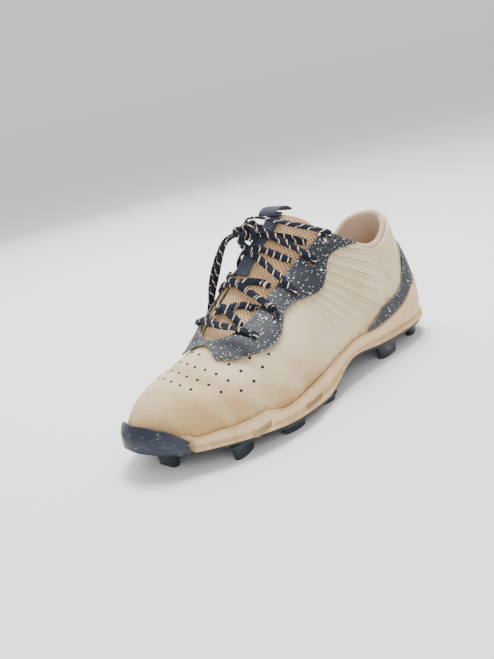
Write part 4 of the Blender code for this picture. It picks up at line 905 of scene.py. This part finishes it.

# %% [markdown]
# ## Punched holes
#
# The vamp breathes through rows of small holes.  Cutting them with booleans would break the
# smooth skin, so each hole is a shallow dish of painted shade that lies on the surface, with a
# rim that stands a tenth of a millimetre above it.  A ray from above finds its place and
# direction.

# %% Punch the vamp
HoleRow = namedtuple("HoleRow", "y first count skip_from skip_to", defaults=(9, 9))
HOLE_PITCH = 0.0086
HOLE_BEND = 0.17
HOLE_RADIUS = 0.00095
HOLE_ROWS = [
    HoleRow(-0.1070, -0.0213, 5), HoleRow(-0.0978, -0.0325, 8), HoleRow(-0.0888, -0.0335, 9),
    HoleRow(-0.0785, -0.0315, 9, 4, 5), HoleRow(-0.0690, -0.0310, 9, 2, 6),
    HoleRow(-0.0590, -0.0330, 9, 1, 7),
]
DISH_PROFILE = ((1.25, -0.06), (1.08, 0.10), (0.92, 0.05), (0.80, 0.01))
DISH_SIDES = 12
DISH_LIFT = 0.00004
RAY_START = 0.2


def hole_spots():
    """Rows across the vamp that bend back towards both sides by a share of the distance."""
    spots = []
    for row in HOLE_ROWS:
        for number in range(row.count):
            if row.skip_from <= number <= row.skip_to:
                continue
            x = row.first + HOLE_PITCH * number
            bend = max(abs(x - 0.001) - 0.003, 0.0) * HOLE_BEND
            spots.append((x + SHIFT[0], row.y + bend + SHIFT[1]))
    return spots


def make_holes(spots, target):
    """One mesh with a dish at each spot, square to the surface there; misses are left out."""
    tree = BVHTree.FromObject(target, bpy.context.evaluated_depsgraph_get())
    angle = np.linspace(0, 2 * math.pi, DISH_SIDES, endpoint=False)
    rings = np.array(DISH_PROFILE) * HOLE_RADIUS
    points = []
    faces = []
    for x, y in spots:
        place, normal, _, _ = tree.ray_cast(Vector((x, y, RAY_START)), Vector((0, 0, -1)))
        if place is None:
            continue
        side = unit(np.cross(np.array(normal), (0.0, 1.0, 0.0)))
        other = np.cross(np.array(normal), side)
        start = len(points) * len(angle)
        for radius, height in rings:
            points.append(np.array(place) + np.array(normal) * (height + DISH_LIFT)
                          + radius * (np.cos(angle)[:, None] * side
                                      + np.sin(angle)[:, None] * other))
        for ring_number in range(len(rings) - 1):
            low = start + ring_number * len(angle)
            for step in range(len(angle)):
                after = (step + 1) % len(angle)
                faces.append((low + step, low + after, low + len(angle) + after,
                              low + len(angle) + step))
        last = start + (len(rings) - 1) * len(angle)
        faces.append(tuple(last + step for step in range(len(angle))))
    add_piece("vamp_holes", np.concatenate(points).tolist(), faces, painted_hole_shade)


make_holes(hole_spots(), upper)
print("hole spots:", len(hole_spots()))

# %% [markdown]
# ## Overlays, sole, tongue and lining
#
# The other solids already have the right forms.  The moulded sole keeps most of its edges
# sharp, while cloth and laces keep few, so that they come out soft.

# %% Dress the other pieces
STRANDS = ("lace_bar", "lace_cross_1", "lace_cross_2", "lace_cross_3", "lace_cross_4",
           "lace_top")

dress(skin_of("eyestay", 2), "eyestay", eyestay_film)
dress(skin_of("heel_counter", 2), "heel_counter", counter_film)
dress(skin_of("toe_bumper", 2), "toe_bumper", bumper_rubber)
sidewall = dress(skin_of("midsole", 2, 24.0, 0.8), "midsole", foam)
dress(skin_of("outsole", 2, 30.0, 0.85), "outsole", plate_rubber)
dress(skin_of("insole", 1), "insole", insole_cloth)
dress(skin_of("collar_lining", 2, 60.0), "collar_lining", collar_knit)
dress(skin_of("tongue", 2, 60.0, 0.5), "tongue", mesh_cloth)
dress(skin_of("tongue_webbing", 2, 50.0, 0.6), "tongue_webbing", webbing_cloth)
for strand in STRANDS:
    skin = skin_of(strand, 2, 75.0, 0.3)
    offsets = vertex_places(skin.data)
    offsets = offsets - offsets.mean(axis=0)
    axes = np.linalg.svd(offsets, full_matrices=False)[2]
    store_value(skin.data, "strand_along", offsets @ axes[0] + 0.1)
    store_value(skin.data, "strand_across", offsets @ axes[2] / LACE_FLECK_RUN + 4.0)
    dress(skin, strand, strand_lace)

# %% [markdown]
# ## Sidewall windows
#
# The sidewall has two framed windows with rows of small dots.  Each is a fine grid over
# four corners, dropped sideways on to the skin and lifted by a frame and by the dots.
# A dot stands where the product of two cosines is high.

# %% Make the windows
Window = namedtuple("Window", "name top_front top_back low_front low_back")
WINDOWS = [
    Window("front_window", (-0.0925, 0.0146), (-0.0765, 0.0183), (-0.0902, 0.0112),
           (-0.0780, 0.0142)),
    Window("rear_window", (-0.0464, 0.0150), (-0.0240, 0.0152), (-0.0470, 0.0118),
           (-0.0280, 0.0116)),
]
WINDOW_GRID = (84, 22)
WINDOW_LENGTH = 0.020
WINDOW_HEIGHT = 0.0034
WINDOW_LIFT = 0.00005
FRAME_HEIGHT = 0.0008
FRAME_MIDDLE = 0.00035
FRAME_SPREAD = 0.00025
DOT_STEP = 0.0014
DOT_HEIGHT = 0.00045
DOT_INSET = 0.0007
SKIRT_DEPTH = 0.0009
SIDE_X = 0.052


def window_heights(run, rise, along, up):
    """Height over the skin: dots, a frame round them, and an outer edge sunk as a skirt."""
    edge = np.minimum(np.minimum(run, 1 - run) * WINDOW_LENGTH,
                      np.minimum(rise, 1 - rise) * WINDOW_HEIGHT)
    frame_height = FRAME_HEIGHT * np.exp(-((edge - FRAME_MIDDLE) / FRAME_SPREAD) ** 2)
    waves = np.cos(2 * math.pi * along / DOT_STEP) * np.cos(2 * math.pi * up / DOT_STEP)
    dots = DOT_HEIGHT * np.clip(waves * 1.6 - 0.2, 0, 1) * (edge > DOT_INSET)
    skirt = -SKIRT_DEPTH * (edge <= 0.00001)
    return WINDOW_LIFT + frame_height + dots + skirt


def side_hit(tree, y, z):
    """The skin's point and normal straight in from the outer side, or else the nearest."""
    hit = tree.ray_cast(Vector((RAY_START, y, z)), Vector((-1, 0, 0)))
    return hit if hit[0] is not None else tree.find_nearest(Vector((SIDE_X, y, z)))


def make_window(window, tree):
    """Blend the corners into a grid and place every point by a ray along -X."""
    wide, tall = WINDOW_GRID
    run, rise = np.meshgrid(np.linspace(0, 1, wide), np.linspace(0, 1, tall))
    run, rise = run.reshape(-1, 1), rise.reshape(-1, 1)
    low = np.array(window.low_front) * (1 - run) + np.array(window.low_back) * run
    top = np.array(window.top_front) * (1 - run) + np.array(window.top_back) * run
    flat = low * (1 - rise) + top * rise + SHIFT[1:]
    hits = [side_hit(tree, y, z) for y, z in flat]
    places = np.array([hit[0] for hit in hits])
    normals = np.array([hit[1] for hit in hits])
    heights = window_heights(run[:, 0], rise[:, 0], flat[:, 0], flat[:, 1])
    row = np.arange(tall - 1)[:, None] * wide
    column = np.arange(wide - 1)[None, :]
    quads = np.stack([row + column, row + column + 1, row + column + 1 + wide,
                      row + column + wide], axis=-1).reshape(-1, 4)
    add_piece(window.name, (places + normals * heights[:, None]).tolist(), quads.tolist(),
              window_foam)


def surface_tree(mesh):
    """A search tree over a mesh's faces, for rays and nearest points."""
    return BVHTree.FromPolygons([vertex.co for vertex in mesh.vertices],
                                [face.vertices for face in mesh.polygons])


sidewall_tree = surface_tree(sidewall.data)
for window in WINDOWS:
    make_window(window, sidewall_tree)

# %% [markdown]
# ## Lace ends in the eyelets
#
# A real strand dives through its eyelet.  The solid strands stop short, so at each end a
# small ribbon continues the strand and bends down, with a disc of painted shadow in the bore
# where the overlay is near.  The strand's own longest direction tells where its two ends are.

# %% Bend the strands into their bores
PLUG_POINTS = ((-0.0030, 0.0), (0.0002, 0.0001), (0.0013, -0.0010), (0.0017, -0.0042))
PLUG_WIDTH = 0.0054
PLUG_NARROWER = 0.0016
PLUG_THICKNESS = 0.0027
PLUG_THICKER = 0.0006
PLUG_RINGS = 14
END_SLICE = 0.0012
BEHIND_NEAR = 0.0035
BEHIND_FAR = 0.0075
BORE_REACH = 0.0022
BORE_DEPTH = 0.0016
DISC_RADIUS = 0.0024
DISC_SIDES = 20


def strand_ends(node):
    """Both ends: the mean of the vertices at each extreme, and the way the strand leaves."""
    places = vertex_places(nodes[node].data)
    middle = places.mean(axis=0)
    main = np.linalg.svd(places - middle, full_matrices=False)[2][0]
    share = (places - middle) @ main
    ends = []
    for sign in (-1, 1):
        run = share * sign
        furthest = run.max()
        tip = places[run > furthest - END_SLICE].mean(axis=0)
        behind = places[(run > furthest - BEHIND_FAR) & (run < furthest - BEHIND_NEAR)]
        ends.append((tip, unit(tip - behind.mean(axis=0))))
    return ends


def add_bore_shadow(name, place, normal):
    """A disc of painted shadow inside the bore, square to the overlay."""
    side = unit(np.cross(normal, (0.0, 1.0, 0.0)))
    other = np.cross(normal, side)
    angle = np.linspace(0, 2 * math.pi, DISC_SIDES, endpoint=False)[:, None]
    ring = place + DISC_RADIUS * (np.cos(angle) * side + np.sin(angle) * other)
    add_piece(name, ring.tolist(), [tuple(range(DISC_SIDES))], painted_hole_shade,
              smooth=False)


def make_plug(node, number, tip, run, overlay):
    """A ribbon: 3 mm along the strand, over its end, and then down against the normal."""
    _, found, _, distance = overlay.find_nearest(Vector(tip))
    normal = np.array(found)
    if normal[2] < 0:
        normal = -normal
    line = smooth_line([tip + run * along + normal * up for along, up in PLUG_POINTS],
                       PLUG_RINGS)
    narrow = np.linspace(0, 1, len(line)) ** 2
    rings = ribbon_rings(line, PLUG_WIDTH - PLUG_NARROWER * narrow,
                         PLUG_THICKNESS + PLUG_THICKER * narrow, np.cross(run, normal))
    plug = rings_to_object(f"{node}_plug_{number}", rings, line_lengths(line), ribbon_lace)
    if distance < BORE_REACH:
        add_bore_shadow(f"{node}_bore_{number}", tip + (run - normal) * BORE_DEPTH, normal)


overlay_tree = surface_tree(nodes["eyestay"].data)
for strand in STRANDS:
    for number, (tip, run) in enumerate(strand_ends(strand)):
        make_plug(strand, number, tip, run, overlay_tree)

# %% [markdown]
# ## Knot
#
# The laces meet in a tight knot over the strap.  A trefoil is the simplest closed line that
# passes over and under itself like a knot, so a thick ribbon follows one, leaned back to
# face up and forward as the tongue does.

# %% Tie the knot
KNOT_PLACES = 120
KNOT_SHARE = 0.985
KNOT_ACROSS = 0.0074
KNOT_UP_SLOPE = 0.0068
KNOT_OUTWARD = 0.0030
KNOT_WIDTH = 0.0056
KNOT_THICKNESS = 0.0042
KNOT_SHIFT = (0.0015, 0.0010, -0.0005)


def trefoil(share):
    """x = sin t + 2 sin 2t, y = cos t - 2 cos 2t, z = -sin 3t, scaled to a unit knot."""
    t = share * 2 * math.pi
    return np.stack([(np.sin(t) + 2 * np.sin(2 * t)) / 3, (np.cos(t) - 2 * np.cos(2 * t)) / 3,
                     -np.sin(3 * t)], axis=-1)


def make_knot():
    """The trefoil's plane is turned to the tongue's slope, and a ribbon is laid along it."""
    loops = trefoil(np.linspace(0, KNOT_SHARE, KNOT_PLACES))
    wide = np.array([1.0, 0.0, 0.0])
    up_slope = unit(np.array([0.0, 0.70, 0.72]))
    outward = np.cross(wide, up_slope)
    centre = (knot_low + knot_high) / 2 + np.array(KNOT_SHIFT)
    line = (centre + loops[:, :1] * wide * KNOT_ACROSS + loops[:, 1:2] * up_slope * KNOT_UP_SLOPE
            + loops[:, 2:] * outward * KNOT_OUTWARD)
    rings = ribbon_rings(line, np.full(len(line), KNOT_WIDTH),
                         np.full(len(line), KNOT_THICKNESS), outward, sides=12)
    knot = rings_to_object("knot", rings, line_lengths(line), ribbon_lace)
    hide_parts("lace_knot")


make_knot()

# %% [markdown]
# ## Floor and light
#
# A pale floor and three large area lights give soft shadows, as in a small studio.  One
# light stands over the shoe, one fills the camera's side and one brightens the far side.

# %% Make the floor
FLOOR_SIZE = 60.0
FLOOR_COLOUR = (0.93, 0.93, 0.93, 1.0)
FLOOR_ROUGHNESS = 0.6

floor_mesh = bpy.data.meshes.new("floor")
half_floor = FLOOR_SIZE / 2
floor_mesh.from_pydata([(-half_floor, -half_floor, 0.0), (half_floor, -half_floor, 0.0),
                        (half_floor, half_floor, 0.0), (-half_floor, half_floor, 0.0)],
                       [], [(0, 1, 2, 3)])
floor = bpy.data.objects.new("floor", floor_mesh)
bpy.context.scene.collection.objects.link(floor)
floor_material = bpy.data.materials.new("pale_floor")
floor_material.use_nodes = True
floor_shader = floor_material.node_tree.nodes["Principled BSDF"]
floor_shader.inputs["Base Color"].default_value = FLOOR_COLOUR
floor_shader.inputs["Roughness"].default_value = FLOOR_ROUGHNESS
floor_mesh.materials.append(floor_material)


# %% Light the shoe
SHOE_MIDDLE = Vector((0.0, 0.0, 0.04))
WORLD_COLOUR = (1.0, 1.0, 1.0, 1.0)
WORLD_STRENGTH = 0.85


def area_light(name, place, size, power):
    """A square white lamp that faces the middle of the shoe."""
    data = bpy.data.lights.new(name, "AREA")
    data.size = size
    data.energy = power
    lamp = bpy.data.objects.new(name, data)
    aim = SHOE_MIDDLE - Vector(place)
    lamp.matrix_world = (Matrix.Translation(place)
                         @ aim.to_track_quat("-Z", "Y").to_matrix().to_4x4())
    bpy.context.scene.collection.objects.link(lamp)


area_light("key_light", (-0.15, 0.30, 1.10), 0.5, 20.0)
area_light("fill_light", (1.10, -0.70, 0.75), 1.2, 9.0)
area_light("rim_light", (-0.90, 0.30, 0.70), 1.0, 8.0)
world = bpy.data.worlds.new("studio")
world.use_nodes = True
background = world.node_tree.nodes["Background"]
background.inputs["Color"].default_value = WORLD_COLOUR
background.inputs["Strength"].default_value = WORLD_STRENGTH
bpy.context.scene.world = world

# %% Update the scene
bpy.context.view_layer.update()
